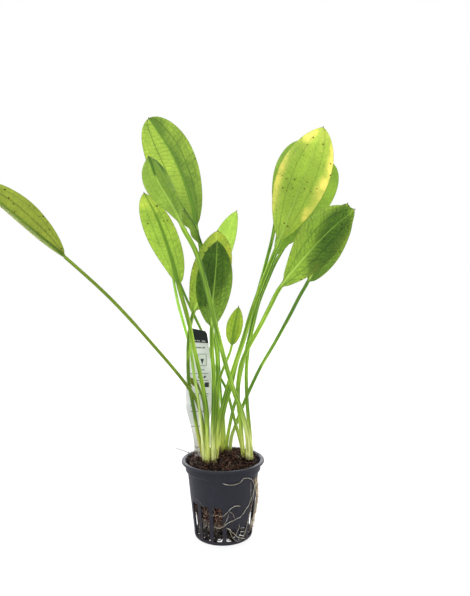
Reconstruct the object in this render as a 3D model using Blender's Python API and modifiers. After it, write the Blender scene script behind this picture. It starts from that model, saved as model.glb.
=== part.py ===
"""Potted amazon sword plant: net pot, coir plug, three crowns, eighteen leaves, stake label, roots.

Metres, +Z up. The origin is the centre of the pot's underside, and -Y is the front.
Each leaf is one closed loft: a round petiole whose section flattens into the blade.
"""
import math
from dataclasses import dataclass

import bmesh
import bpy
from mathutils import Matrix, Vector, noise

MM = 0.001
GAP = 0.3 * MM
MERGE = 0.02 * MM
FRONT_TURN = 90.0

# Net pot: the common 5 cm aquatic size
RIM_R = 27.8 * MM
POT_H = 50.0 * MM
RIM_DROP = 1.6 * MM
COLLAR_R = 25.3 * MM
COLLAR_LOW = 42.5 * MM
WALL_TOP_R = 23.8 * MM
FOOT_R = 19.3 * MM
FOOT_ROUND = 1.2 * MM
WALL = 1.1 * MM
LIP_FLARE = 1.1 * MM
LIP_DEEP = 3.6 * MM
EDGE = 0.4 * MM
FLOOR = 1.3 * MM
POT_STEPS = 48

# Slots: fifteen, two short pairs under the plain panels, azimuth in degrees from the front
SLOTS = 15
SLOT_FIRST = 15.5
SLOT_W = 6.0 * MM
SLOT_LOW = 2.2 * MM
SLOT_TALL = 25.0 * MM
SLOT_SHORT = 10.6 * MM
SHORT_SLOTS = (0, 1, 7, 8)
FLOOR_SLOT_W = 3.4 * MM
FLOOR_SLOT_IN = 9.5 * MM
FLOOR_SLOT_OUT = 17.2 * MM

# Growing medium: a plug that stops above the pot's floor
PLUG_LOW = 15.0 * MM
PLUG_HIGH = 47.4 * MM
PLUG_MOUND = 1.6 * MM
PLUG_LUMP = 0.8 * MM
PLUG_GRAIN = 5.0 * MM
PLUG_EDGE = 1.5 * MM
PLUG_MIDDLE = 31.0 * MM
PLUG_STEPS = 22

# Tuft of roots that hangs under the plug down to the pot's floor: radius and height
TUFT_ROWS = ((0.0, 12.9), (13.6, 12.9), (15.2, 11.4), (14.6, 7.6), (13.0, 4.2), (10.5, 1.8), (0.0, 1.8))
TUFT_STEPS = 12
TUFT_LUMP = 0.1

# Crowns: name, centre, radius
CROWN_HIGH = 50.0 * MM
CROWN_LOW = 38.0 * MM
CROWN_STEPS = 14
POCKET_OVER = 6.0 * MM
CROWNS = (
    ("crown_left", (-8.5, -5.6), 6.1),
    ("crown_right", (16.4, 1.6), 5.2),
    ("crown_back", (1.2, 15.0), 5.4),
)

# Stake label: a strip that is widest near its middle, with its top right corner curled back
LABEL_THICK = 0.7 * MM
LABEL_FOOT = (-16.5 * MM, 6.6 * MM)
LABEL_TURN = 3.0
LABEL_ROWS = (
    (32.0, 0.8), (40.0, 3.0), (51.0, 3.3), (60.0, 3.7), (70.0, 5.6), (82.0, 8.9), (90.0, 9.1), (98.0, 8.9),
    (109.0, 8.4), (120.0, 7.6), (130.0, 7.0), (136.4, 6.6), (138.2, 5.4),
)
LABEL_CURL_FROM = 112.0
LABEL_CURL_SLANT = 0.9
LABEL_CURL_RADIUS = 34.0
LABEL_SLIT_W = 7.4 * MM
LABEL_COLUMNS = (-1.0, -0.5, 0.0, 0.5, 1.0)

# Roots on the outside of the pot: azimuth in degrees from the front, height in mm
ROOT_R = 0.32 * MM
BUNDLE_R = 0.9 * MM
ROOT_CLEAR = 0.4 * MM
ROOT_STEPS = 2
ROOTS = (
    ("root_long", ROOT_R,
     ((0, 41.9), (7, 40.9), (14, 40.3), (22, 40.6), (27, 42), (31, 44), (38, 43.8), (46, 42.2),
      (53, 40), (59, 36.5), (61, 33), (57, 29.5), (50, 25.6), (44, 23.1), (39, 21.2), (34, 19.2),
      (28, 18.1), (16, 16.9), (6, 15), (-1, 13.1), (-8, 12.3), (-15, 13.1))),
    ("root_middle", ROOT_R,
     ((32, 25.4), (20, 26.3), (12, 24.4), (6, 22.2), (1, 20.3), (-7, 20.5), (-19, 20.8), (-27, 22.6),
      (-39, 27.2), (-54, 29.1))),
    ("root_low", ROOT_R, ((6, 12.4), (13, 10.8), (22, 7.3), (29, 4.9), (38, 3.8), (46, 2))),
    ("root_bundle", BUNDLE_R,
     ((56, 42.6), (66, 37.5), (77, 30), (80, 22.5), (75, 16.8), (67, 12), (61, 6.1))),
)

# One dry root that crosses the rim at the left, from the medium outwards
STRAY_R = 0.2 * MM
STRAY = ((-18.8, 8.5, 49.3), (-21.5, 9.3, 50.2), (-23.6, 10, 50.9), (-25.6, 10.5, 51.3), (-28.9, 11, 52.5),
         (-34.8, 12, 53.9))

# Leaves
RING = 8
STALK_STEP = 16.0 * MM
BLADE_RINGS = 10
BLADE_HALF_THICK = 0.28 * MM
MIDRIB_TIP_R = 0.3 * MM
SHEATH_LENGTH = 14.0 * MM
PATH_STEPS = 12


@dataclass(frozen=True)
class Half:
    """One side of a blade: width in mm, how it opens at the base and closes at the tip, turn back."""

    width: float
    base: float = 0.8
    tip: float = 0.6
    turn: float = 8.0


@dataclass(frozen=True)
class Leaf:
    """A petiole and its blade: points in mm from the crown up, then the blade's midrib to its tip."""

    name: str
    stalk: tuple
    blade: tuple
    left: Half
    right: Half
    facing: tuple = (0.0, -1.0, 0.1)
    stalk_r: float = 1.1
    sheath_r: float = 1.35


LEAVES = (
    Leaf("leaf_far_left",
         ((-10.1, -1.4, 50.3), (-15.2, -2, 82), (-23.7, -4.5, 100), (-47.7, -8, 130), (-73.2, -12, 159),
          (-100.7, -15, 185)),
         ((-119.7, -17, 201.5), (-136.2, -19, 216), (-160.2, -20, 235)),
         Half(13.5, 0.65, 0.9, 71), Half(12.9, 0.85, 0.75, 8)),
    Leaf("leaf_left_front",
         ((-9.9, -9.8, 50.3), (-9.8, -9.3, 71.5), (-10.7, -10, 88), (-14.2, -12, 108), (-18.2, -14, 126.5),
          (-21.2, -16, 143), (-27.2, -18, 165.5)),
         ((-32.2, -19, 185.5), (-40.2, -19, 208.5), (-49.7, -17, 227)),
         Half(11.3, 1, 0.6), Half(8.8, 0.65, 0.75), stalk_r=1.35, sheath_r=1.6),
    Leaf("leaf_slender",
         ((-12.3, -6.8, 50.3), (-13.9, -5.8, 70.5), (-16.2, -4.6, 90.5), (-19.2, -1.6, 107),
          (-21.7, 1.4, 123.5), (-26.2, 4, 140), (-30.7, 6, 156), (-34.2, 7.5, 174)),
         ((-37.2, 8.5, 190), (-42.7, 9.5, 210)),
         Half(2.8), Half(2.8), stalk_r=0.95),
    Leaf("leaf_centre",
         ((-6, -9.5, 50.3), (-6.6, -8.6, 68), (-5.8, -8.2, 87.5), (-5.7, -8.2, 107.5), (-6.7, -9, 124),
          (-6.7, -10, 138.5)),
         ((-5.7, -12, 157), (-3.7, -12, 176.5), (-2.7, -9, 196.5)),
         Half(12.4, 0.8, 0.72), Half(11.6, 0.75, 0.66), stalk_r=1.4, sheath_r=1.8),
    Leaf("leaf_centre_back",
         ((-12.7, -3.4, 50.3), (-16.7, -2.6, 67.5), (-19.7, -1.6, 85), (-22.7, -1.6, 103), (-23, -3.2, 120.1),
          (-21.8, -5.6, 135.8), (-18.7, -7.8, 149)),
         ((-11.7, -8.9, 163.8), (-6.2, -8.7, 182.2), (-2.4, -6, 203.8)),
         Half(12.2, 0.7, 0.7), Half(13.2, 0.85, 0.6), stalk_r=1.2),
    Leaf("leaf_small_centre",
         ((-6.4, -2.0, 50.3), (-4.8, -2.4, 76.5), (-3.7, 0, 93), (-1.7, 2, 104), (0.8, 4, 111),
          (4.3, 5, 119), (6.3, 6, 125.5)),
         ((7.8, 7, 136.5), (11.3, 8, 153)),
         Half(5.6, 0.7, 0.85), Half(5.8, 0.7, 0.75), stalk_r=0.9, sheath_r=1.2),
    Leaf("leaf_old_small",
         ((-8.8, -5.6, 50.3), (-10.9, -3.6, 70), (-12.7, -0.6, 86.5), (-15.2, 1.6, 95)),
         ((-19.2, 2.6, 100.5), (-24.7, 3.2, 104.5)),
         Half(1.9), Half(1.9), stalk_r=0.8, sheath_r=1.1),
    Leaf("leaf_tall_left",
         ((-5.2, 1.6, 50.3), (-4.2, 3, 75.5), (-3.7, 5, 95.5), (-4.2, 7.5, 120), (-7.8, 9.5, 138),
          (-11.2, 11, 157), (-14.2, 13, 184), (-17.7, 15, 207)),
         ((-22.7, 15, 230.5), (-34.7, 12, 260), (-50.7, 8, 284.5)),
         Half(20.4, 0.55, 0.5), Half(14.9, 1.0, 0.5)),
    Leaf("leaf_right_front",
         ((-4.2, -5.6, 50.3), (-3.4, -7.6, 65), (-1.5, -9, 79.5), (2.3, -10.3, 95.5), (7.3, -11.5, 111.5),
          (13.3, -12.5, 129.5), (19.3, -13.3, 149), (25.8, -13.5, 166.5), (31.8, -13, 181), (37.3, -12, 194)),
         ((45.3, -10, 214), (55.8, -7, 240), (69.3, -2, 274)),
         Half(18.2, 0.95, 0.74), Half(17, 0.9, 0.64), stalk_r=1.35),
    Leaf("leaf_folded",
         ((17.9, -2.4, 50.3), (16.8, -4.2, 66), (12.8, -8.5, 83), (8.3, -13, 96), (3.3, -18.5, 113),
          (-2.7, -25.5, 138), (-9.2, -32, 166.5), (-14.7, -36, 186), (-21.7, -40, 199.5)),
         ((-28.7, -42, 214), (-36.7, -42, 228), (-42.7, -39, 244)),
         Half(11.5, 1.3, 0.5, 38), Half(9.5, 1.15, 0.62, 38), stalk_r=1.5, sheath_r=2.8),
    Leaf("leaf_back_left",
         ((14.4, 4.6, 50.3), (11.8, 6, 60), (8.8, 7.6, 71), (6.3, 8.8, 80.5), (2.3, 10.4, 95),
          (-5.2, 12.6, 109), (-13.7, 16.5, 132), (-22.7, 21, 150.5), (-30.2, 25, 167), (-35.2, 27, 180)),
         ((-39.2, 28.5, 193), (-45.2, 30, 212)),
         Half(2.8), Half(2.8), stalk_r=0.95),
    Leaf("leaf_right_far",
         ((19, 2.8, 50.3), (18.3, 4, 66.5), (16.8, 6, 84.5), (16.3, 9, 105), (17.8, 12, 122),
          (20.8, 15, 135.5), (25.3, 18, 153.5), (31.3, 21, 168.5), (37.8, 24, 183), (44.8, 27, 195)),
         ((56.8, 31, 214.5), (70.3, 36, 238), (81.3, 41, 263.5)),
         Half(12, 0.9, 0.6), Half(14.2, 0.9, 0.42), stalk_r=1.2, sheath_r=1.6),
    Leaf("leaf_right_broad",
         ((14, 0.2, 50.3), (12.8, -1.6, 63), (11.8, -3, 76.5), (10.3, -4, 93.5), (11.8, -6, 110.5),
          (15.8, -8, 122.5), (24.6, -12, 139), (31.6, -15, 153), (37.3, -17, 164)),
         ((47.3, -20, 177), (65.8, -24, 197.5), (84.3, -27, 213.5)),
         Half(15.2, 1.35, 0.68), Half(13.2, 0.9, 0.8), stalk_r=1.4, sheath_r=1.5),
    Leaf("leaf_young",
         ((1, 18.6, 50.3), (0, 17.6, 73), (-1.8, 16.4, 90.5), (-3, 15.2, 115), (-3.8, 13.6, 135),
          (-5.8, 12, 155), (-8.8, 10, 175), (-13.9, 8, 195.5)),
         ((-18, 1, 207.5), (-24.7, -10, 218)),
         Half(6, 0.7, 0.8, 40), Half(8, 0.7, 0.8, 40), facing=(0.6, -0.5, 0.6), stalk_r=0.95),
    Leaf("leaf_lime",
         ((-2.6, 16, 50.3), (-3.4, 19.4, 71), (-4, 23, 92), (-4.7, 28, 120.5), (-6.7, 34, 150),
          (-6.7, 37, 168.5)),
         ((-3.2, 40, 187.5), (3.8, 41, 208), (10.8, 41, 225.5)),
         Half(10, 0.7, 0.75), Half(7.6, 0.7, 0.75)),
    Leaf("leaf_right_back",
         ((-0.6, 12.4, 50.3), (-0.7, 11.2, 69.5), (1.3, 8.3, 82.5), (5.8, 5.6, 98), (9.8, 4.5, 114.5),
          (14.8, 3.5, 129.5), (19.8, 3, 146.5), (25.3, 3, 165), (30.3, 3, 183), (34.3, 3, 198),
          (37.3, 4, 213)),
         ((42.3, 5, 232.5), (47.3, 6, 250), (55.3, 8, 268)),
         Half(9.4, 0.85, 0.55), Half(9, 0.7, 0.6), stalk_r=1.2),
    Leaf("leaf_right_pale",
         ((1.4, 15.2, 50.3), (3.8, 14.4, 65), (6.8, 13, 79.5), (9.8, 11, 90.5), (12.3, 9.5, 105),
          (16.3, 8, 122.5), (20.3, 7.5, 139.5), (24.8, 8, 157), (31.3, 10, 172.5), (37.3, 12, 188)),
         ((43.8, 15, 202), (52.3, 18, 219.5), (62.3, 22, 240)),
         Half(7, 0.7, 0.6), Half(8, 0.7, 0.6)),
    Leaf("leaf_right_low",
         ((4.4, 13.2, 50.3), (5.8, 13.2, 61), (8.8, 12.6, 69.5), (13.3, 11.6, 81.5), (18, 10.4, 93),
          (26.4, 7, 111), (36.1, 1.4, 128.5), (44.7, -5.8, 145.6), (50.7, -11.7, 158.5),
          (55.9, -15.5, 168.3)),
         ((62.4, -18.8, 182), (70.8, -21.6, 199.9), (80.3, -24.2, 217.8)),
         Half(7.9, 0.75, 0.6), Half(11.8, 0.65, 0.55), stalk_r=1.15),
)


def clear_scene():
    """Remove every object that the file holds."""
    for obj in list(bpy.data.objects):
        bpy.data.objects.remove(obj, do_unlink=True)


def collection(name):
    """Return a new collection linked to the scene."""
    made = bpy.data.collections.new(name)
    bpy.context.scene.collection.children.link(made)
    return made


def material(name, colour, roughness, metallic=0.0):
    """Return a Principled material of one linear colour."""
    made = bpy.data.materials.new(name)
    made.use_nodes = True
    shader = made.node_tree.nodes["Principled BSDF"]
    shader.inputs["Base Color"].default_value = (*colour, 1.0)
    shader.inputs["Roughness"].default_value = roughness
    shader.inputs["Metallic"].default_value = metallic
    return made


def add_object(name, mesh, target, finish=None):
    """Link a new object of this mesh to the target collection."""
    obj = bpy.data.objects.new(name, mesh)
    target.objects.link(obj)
    if finish:
        mesh.materials.clear()
        mesh.materials.append(finish)
    return obj


def mesh_from_bmesh(name, bm):
    """Write a bmesh to a new mesh with its faces pointing out."""
    bmesh.ops.recalc_face_normals(bm, faces=bm.faces)
    mesh = bpy.data.meshes.new(name)
    bm.to_mesh(mesh)
    bm.free()
    return mesh


def evaluated_mesh(obj):
    """Return the object's mesh with its modifiers applied."""
    depsgraph = bpy.context.evaluated_depsgraph_get()
    return bpy.data.meshes.new_from_object(obj.evaluated_get(depsgraph))


def turned(name, profile, steps, target):
    """Turn a profile of (radius, height) points about Z with a Screw modifier."""
    bm = bmesh.new()
    verts = [bm.verts.new((r, 0.0, z)) for r, z in profile]
    for a, b in zip(verts, verts[1:]):
        bm.edges.new((a, b))
    mesh = bpy.data.meshes.new(name)
    bm.to_mesh(mesh)
    bm.free()
    obj = add_object(name, mesh, target)
    screw = obj.modifiers.new("Screw", "SCREW")
    screw.steps = steps
    screw.render_steps = steps
    screw.use_merge_vertices = True
    screw.merge_threshold = MERGE
    screw.use_smooth_shade = False
    return obj


def subtract(obj, cutter):
    """Cut one object with another by an exact Boolean."""
    cut = obj.modifiers.new("Cut " + cutter.name, "BOOLEAN")
    cut.operation = "DIFFERENCE"
    cut.solver = "EXACT"
    cut.object = cutter


def as_cutter(obj):
    """Mark an object as a tool that takes no part in the model."""
    obj.hide_render = True
    obj.display_type = "WIRE"
    return obj


def wall_radius(z):
    """Outer radius of the pot's tapered wall at a height."""
    return FOOT_R + (WALL_TOP_R - FOOT_R) * min(max(z / COLLAR_LOW, 0.0), 1.0)


def outside_radius(z):
    """Outer radius of the pot at a height, with its collar."""
    step = min(max((z - COLLAR_LOW) / WALL + 1.0, 0.0), 1.0)
    return wall_radius(z) + (COLLAR_R - WALL_TOP_R) * step


def smooth_path(points, steps=PATH_STEPS):
    """Catmull-Rom curve through the points, with steps to a span."""
    pts = [points[0] * 2 - points[1], *points, points[-1] * 2 - points[-2]]
    out = []
    for a, b, c, d in zip(pts, pts[1:], pts[2:], pts[3:]):
        for i in range(steps):
            t = i / steps
            out.append(0.5 * (2 * b + (c - a) * t + (2 * a - 5 * b + 4 * c - d) * t * t
                              + (3 * b - 3 * c + d - a) * t ** 3))
    out.append(points[-1].copy())
    return out


def lengths(path):
    """Running length along a path."""
    run = [0.0]
    for a, b in zip(path, path[1:]):
        run.append(run[-1] + (b - a).length)
    return run


def point_at(path, run, distance):
    """Point and direction at a distance along a path."""
    i = 0
    while i < len(run) - 2 and run[i + 1] < distance:
        i += 1
    share = (distance - run[i]) / (run[i + 1] - run[i])
    return path[i].lerp(path[i + 1], share), (path[i + 1] - path[i]).normalized()


def half_width(half, t):
    """Half-width of one side of a blade at a share t of its length, in metres."""
    peak = half.base / (half.base + half.tip)
    return half.width * MM * (t / peak) ** half.base * ((1.0 - t) / (1.0 - peak)) ** half.tip


def ring_points(centre, tangent, facing, left, right, rib, turns):
    """Eight points of a section: round where the blade has no width, a folded lens where it has."""
    face = (facing - tangent * facing.dot(tangent)).normalized()
    side = tangent.cross(face)
    points = []
    for k in range(RING):
        across = math.cos(math.tau * k / RING)
        up = math.sin(math.tau * k / RING)
        wide, turn = (right, turns[1]) if across > 0 else (left, turns[0])
        flat = min(max((wide / rib - 1.0) / 2.0, 0.0), 1.0)
        angle = math.radians(turn) * flat
        outward = side if across > 0 else -side
        arm = outward * math.cos(angle) - face * math.sin(angle)
        lift = face * math.cos(angle) + outward * math.sin(angle)
        if k % 4 == 0:
            points.append(centre + arm * wide)
        elif k % 2 == 0:
            points.append(centre + face * rib * up)
        else:
            reach = wide * (abs(across) * (1 - flat) + 0.5 * flat)
            thick = rib * abs(up) * (1 - flat) + BLADE_HALF_THICK * flat
            points.append(centre + arm * reach + lift * math.copysign(thick, up))
    return points


def leaf_stations(leaf):
    """List (centre, tangent, left, right, rib) for each ring from the base to the tip."""
    stalk = [Vector(p) * MM for p in leaf.stalk]
    blade = [Vector(p) * MM for p in leaf.blade]
    path = smooth_path(stalk + blade)
    run = lengths(path)
    joint = run[(len(stalk) - 1) * PATH_STEPS]
    stations = []
    count = math.ceil(joint / STALK_STEP)
    for i in range(count):
        at = joint * i / count
        radius = (leaf.stalk_r + (leaf.sheath_r - leaf.stalk_r) * math.exp(-at / SHEATH_LENGTH)) * MM
        centre, tangent = point_at(path, run, at)
        stations.append((centre, tangent, radius, radius, radius))
    for i in range(BLADE_RINGS):
        t = 0.5 - 0.5 * math.cos(math.pi * i / (BLADE_RINGS - 0.5))
        rib = leaf.stalk_r * MM + (MIDRIB_TIP_R - leaf.stalk_r * MM) * t ** 0.6
        left = max(half_width(leaf.left, t), rib)
        right = max(half_width(leaf.right, t), rib)
        centre, tangent = point_at(path, run, joint + (run[-1] - joint) * t)
        stations.append((centre, tangent, left, right, rib))
    return stations


def make_leaf(leaf, target, finish):
    """Loft a leaf's rings into one closed body, capped at both ends."""
    bm = bmesh.new()
    turns = (leaf.left.turn, leaf.right.turn)
    rings = []
    for index, (centre, tangent, left, right, rib) in enumerate(leaf_stations(leaf)):
        along = Vector((0.0, 0.0, 1.0)) if index == 0 else tangent
        points = ring_points(centre, along, Vector(leaf.facing), left, right, rib, turns)
        rings.append([bm.verts.new(p) for p in points])
    for low, high in zip(rings, rings[1:]):
        for k in range(RING):
            n = (k + 1) % RING
            bm.faces.new((low[k], low[n], high[n], high[k]))
    bm.faces.new(rings[0])
    bm.faces.new(rings[-1])
    bmesh.ops.triangulate(bm, faces=bm.faces)
    mesh = mesh_from_bmesh(leaf.name, bm)
    mesh.shade_smooth()
    return add_object(leaf.name, mesh, target, finish)


def slot_cutters(target):
    """One cutter of upright boxes through the wall and flat ones through the floor."""
    bm = bmesh.new()

    def box(turn, x0, x1, width, z0, z1):
        size = Matrix.Diagonal((x1 - x0, width, z1 - z0, 1.0))
        place = Matrix.Rotation(turn, 4, "Z") @ Matrix.Translation(((x0 + x1) / 2, 0.0, (z0 + z1) / 2))
        bmesh.ops.create_cube(bm, size=1.0, matrix=place @ size)

    for k in range(SLOTS):
        turn = math.radians(SLOT_FIRST + 360.0 / SLOTS * k - FRONT_TURN)
        high = SLOT_SHORT if k in SHORT_SLOTS else SLOT_TALL
        box(turn, FOOT_R - 3 * WALL, RIM_R, SLOT_W, SLOT_LOW, high)
        box(turn, FLOOR_SLOT_IN, FLOOR_SLOT_OUT, FLOOR_SLOT_W, -FLOOR, FLOOR + 0.2 * WALL)
    return as_cutter(add_object("slot_cutter", mesh_from_bmesh("slot_cutter", bm), target))


def make_pot(target, cutters, finish):
    """Turn the pot's wall, floor and rim, then cut its slots."""
    inside = COLLAR_R - WALL
    profile = (
        (0.0, FLOOR),
        (FOOT_R - WALL, FLOOR),
        (WALL_TOP_R - WALL, COLLAR_LOW + WALL),
        (inside, POT_H - LIP_DEEP),
        (inside + LIP_FLARE, POT_H - EDGE),
        (inside + LIP_FLARE + EDGE, POT_H),
        (RIM_R - EDGE, POT_H),
        (RIM_R, POT_H - EDGE),
        (RIM_R, POT_H - RIM_DROP),
        (COLLAR_R, POT_H - RIM_DROP - EDGE),
        (COLLAR_R, COLLAR_LOW + WALL),
        (WALL_TOP_R, COLLAR_LOW),
        (wall_radius(FOOT_ROUND), FOOT_ROUND),
        (FOOT_R - EDGE, 0.25 * FOOT_ROUND),
        (FOOT_R - FOOT_ROUND, 0.0),
        (0.0, 0.0),
    )
    pot = turned("net_pot", profile, POT_STEPS, target)
    pot.data.materials.append(finish)
    subtract(pot, slot_cutters(cutters))
    return pot


def crown_profile(radius, grow):
    """Profile of a crown, or of the pocket around it when grow is above zero."""
    r = radius + grow
    high = CROWN_HIGH + POCKET_OVER * (grow > 0.0)
    return ((0.0, high), (0.86 * r, high), (r, CROWN_HIGH - 1.5 * MM), (r, CROWN_HIGH - 5 * MM),
            (0.45 * r, CROWN_LOW - grow), (0.0, CROWN_LOW - grow))


def make_crowns(target, cutters, finish):
    """Make the three rootstocks, and return the cutters of their pockets."""
    pockets = []
    for name, (x, y), radius in CROWNS:
        crown = turned(name, crown_profile(radius * MM, 0.0), CROWN_STEPS, target)
        crown.data.materials.append(finish)
        crown.location = (x * MM, y * MM, 0.0)
        pocket = as_cutter(turned("pocket_" + name, crown_profile(radius * MM, GAP), CROWN_STEPS, cutters))
        pocket.location = crown.location
        pockets.append(pocket)
    return pockets


def label_point(across, up):
    """Place a point of the flat label, in mm, with its upper right corner curled back."""
    lean = 1.0 / math.hypot(1.0, LABEL_CURL_SLANT)
    over = max(0.0, up - LABEL_CURL_FROM + LABEL_CURL_SLANT * across) * lean
    lost = over - LABEL_CURL_RADIUS * math.sin(over / LABEL_CURL_RADIUS)
    back = LABEL_CURL_RADIUS * (1.0 - math.cos(over / LABEL_CURL_RADIUS))
    return Vector((across - lost * lean * LABEL_CURL_SLANT, back, up - lost * lean)) * MM


def make_label(target, cutters, finish):
    """Skin the label's rows, give the sheet its thickness, and return the cutter of its slit."""
    place = Matrix.Translation((*LABEL_FOOT, 0.0)) @ Matrix.Rotation(math.radians(LABEL_TURN), 4, "Z")
    bm = bmesh.new()
    rows = [[bm.verts.new(label_point(half * share, up)) for share in LABEL_COLUMNS]
            for up, half in LABEL_ROWS]
    for low, high in zip(rows, rows[1:]):
        for k in range(len(LABEL_COLUMNS) - 1):
            bm.faces.new((low[k], low[k + 1], high[k + 1], high[k]))
    bm.transform(place)
    label = add_object("plant_label", mesh_from_bmesh("plant_label", bm), target, finish)
    sheet = label.modifiers.new("Thickness", "SOLIDIFY")
    sheet.thickness = LABEL_THICK
    sheet.offset = 0.0
    slit = bmesh.new()
    low = LABEL_ROWS[0][0] * MM - 2 * GAP
    high = PLUG_HIGH + POCKET_OVER
    size = Matrix.Diagonal((LABEL_SLIT_W, LABEL_THICK + 3 * GAP, high - low, 1.0))
    middle = Matrix.Translation((0.0, 0.0, (high + low) / 2))
    bmesh.ops.create_cube(slit, size=1.0, matrix=place @ middle @ size)
    return as_cutter(add_object("label_slit", mesh_from_bmesh("label_slit", slit), cutters))


def make_medium(target, pockets, finish):
    """Turn the plug, make its top and bottom lumpy, and cut the crowns' and the label's pockets."""
    def bore(z):
        return wall_radius(z) - WALL - 2 * GAP

    top = PLUG_HIGH - PLUG_EDGE
    foot = PLUG_LOW + PLUG_EDGE
    profile = [(r * bore(top), PLUG_HIGH) for r in (0.0, 0.3, 0.6, 0.85)]
    profile += [(bore(z), z) for z in (top, PLUG_MIDDLE, foot)]
    profile += [(r * bore(PLUG_LOW), PLUG_LOW) for r in (0.8, 0.4, 0.0)]
    raw = turned("medium_raw", profile, PLUG_STEPS, target)
    mesh = evaluated_mesh(raw)
    bpy.data.objects.remove(raw)
    for vertex in mesh.vertices:
        reach = vertex.co.xy.length / bore(top)
        lump = noise.noise(vertex.co / PLUG_GRAIN) * PLUG_LUMP
        if vertex.co.z > top + GAP:
            vertex.co.z += PLUG_MOUND * (1 - reach ** 2) + lump
        elif vertex.co.z < foot - GAP:
            vertex.co.z += 2 * lump
    medium = add_object("growing_medium", mesh, target, finish)
    for pocket in pockets:
        subtract(medium, pocket)
    return medium


def make_tuft(target, finish):
    """Turn the tuft of roots under the plug and make its side lumpy."""
    raw = turned("tuft_raw", [(r * MM, z * MM) for r, z in TUFT_ROWS], TUFT_STEPS, target)
    mesh = evaluated_mesh(raw)
    bpy.data.objects.remove(raw)
    for vertex in mesh.vertices:
        vertex.co.xy *= 1.0 + noise.noise(vertex.co / PLUG_GRAIN) * TUFT_LUMP
    return add_object("root_tuft", mesh, target, finish)


def wall_route(route, radius):
    """Points on the outside of the pot's wall, for a route of azimuth and height."""
    points = []
    for azimuth, height in route:
        z = height * MM
        r = outside_radius(z) + ROOT_CLEAR + radius
        a = math.radians(azimuth - FRONT_TURN)
        points.append(Vector((r * math.cos(a), r * math.sin(a), z)))
    return points


def make_root(name, radius, points, target, finish):
    """Lay a thin tube with tapered ends along a smooth path through the points."""
    path = smooth_path(points, ROOT_STEPS)
    curve = bpy.data.curves.new(name, "CURVE")
    curve.dimensions = "3D"
    curve.bevel_depth = radius
    curve.bevel_resolution = 0
    curve.use_fill_caps = True
    spline = curve.splines.new("POLY")
    spline.points.add(len(path) - 1)
    for index, (point, co) in enumerate(zip(spline.points, path)):
        end = min(index, len(path) - 1 - index)
        point.co = (*co, 1.0)
        point.radius = min(1.0, 0.5 + 0.25 * end)
    curve.materials.append(finish)
    obj = bpy.data.objects.new(name, curve)
    target.objects.link(obj)
    return obj


def main():
    """Build the potted plant."""
    clear_scene()
    parts = collection("potted_amazon_sword_plant")
    cutters = collection("cutters")
    pot_plastic = material("Charcoal pot plastic", (0.040, 0.042, 0.053), 0.5)
    coir = material("Coir and peat", (0.030, 0.016, 0.014), 0.95)
    crown_flesh = material("Pale crown flesh", (0.62, 0.66, 0.30), 0.5)
    leaf_green = material("Leaf green", (0.26, 0.45, 0.07), 0.45)
    label_plastic = material("Label plastic", (0.74, 0.78, 0.72), 0.4)
    root_skin = material("Root skin", (0.50, 0.42, 0.27), 0.7)
    make_pot(parts, cutters, pot_plastic)
    pockets = make_crowns(parts, cutters, crown_flesh)
    pockets.append(make_label(parts, cutters, label_plastic))
    make_medium(parts, pockets, coir)
    for leaf in LEAVES:
        make_leaf(leaf, parts, leaf_green)
    make_tuft(parts, root_skin)
    for name, radius, route in ROOTS:
        make_root(name, radius, wall_route(route, radius), parts, root_skin)
    make_root("root_stray", STRAY_R, [Vector(p) * MM for p in STRAY], parts, root_skin)


main()
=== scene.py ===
"""Looks of the potted amazon sword plant: leaves, net pot, coir plug, crowns, stake label and roots.

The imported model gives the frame. The origin is the centre of the pot's underside, +Z is up and -Y is
the front. Each piece repeats its solid's named sizes in mm, and stands in the solid's place.
"""
import logging
import math
from collections.abc import Callable, Sequence
from dataclasses import dataclass, field
from enum import Enum
from typing import Any

import bmesh
import bpy
import numpy as np
from mathutils import Matrix, Vector, noise

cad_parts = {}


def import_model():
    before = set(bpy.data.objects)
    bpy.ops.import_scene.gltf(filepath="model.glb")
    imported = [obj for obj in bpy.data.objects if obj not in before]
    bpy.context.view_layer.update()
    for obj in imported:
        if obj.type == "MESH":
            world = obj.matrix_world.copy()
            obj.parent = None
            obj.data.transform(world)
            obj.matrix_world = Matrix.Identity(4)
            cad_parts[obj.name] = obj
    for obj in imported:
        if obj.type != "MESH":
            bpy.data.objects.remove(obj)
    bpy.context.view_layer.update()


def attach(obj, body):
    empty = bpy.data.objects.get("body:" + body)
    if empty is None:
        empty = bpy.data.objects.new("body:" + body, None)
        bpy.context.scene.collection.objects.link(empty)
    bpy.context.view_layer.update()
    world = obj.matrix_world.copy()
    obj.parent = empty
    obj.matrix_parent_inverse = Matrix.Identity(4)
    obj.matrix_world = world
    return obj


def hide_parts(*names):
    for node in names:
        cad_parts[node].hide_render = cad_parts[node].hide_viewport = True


LOG = logging.getLogger("potted_plant")
MM = 0.001
BODY = "root"
Point = tuple[float, float, float]
Colour = tuple[float, float, float, float]
Socket = bpy.types.NodeSocket
Shell = tuple[list[Vector], list[tuple[int, ...]]]
SIDE_VEINS = (0.44, 0.76)


def linear(code: str) -> Colour:
    """Turn an sRGB hex colour into the linear colour that shaders use.

    Args:
        code: six hex digits, with or without a leading #.

    Returns:
        Linear red, green, blue and an alpha of one.
    """
    code = code.lstrip("#")
    parts = [int(code[i:i + 2], 16) / 255.0 for i in (0, 2, 4)]
    red, green, blue = (c / 12.92 if c <= 0.04045 else ((c + 0.055) / 1.055) ** 2.4 for c in parts)
    return (red, green, blue, 1.0)


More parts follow.
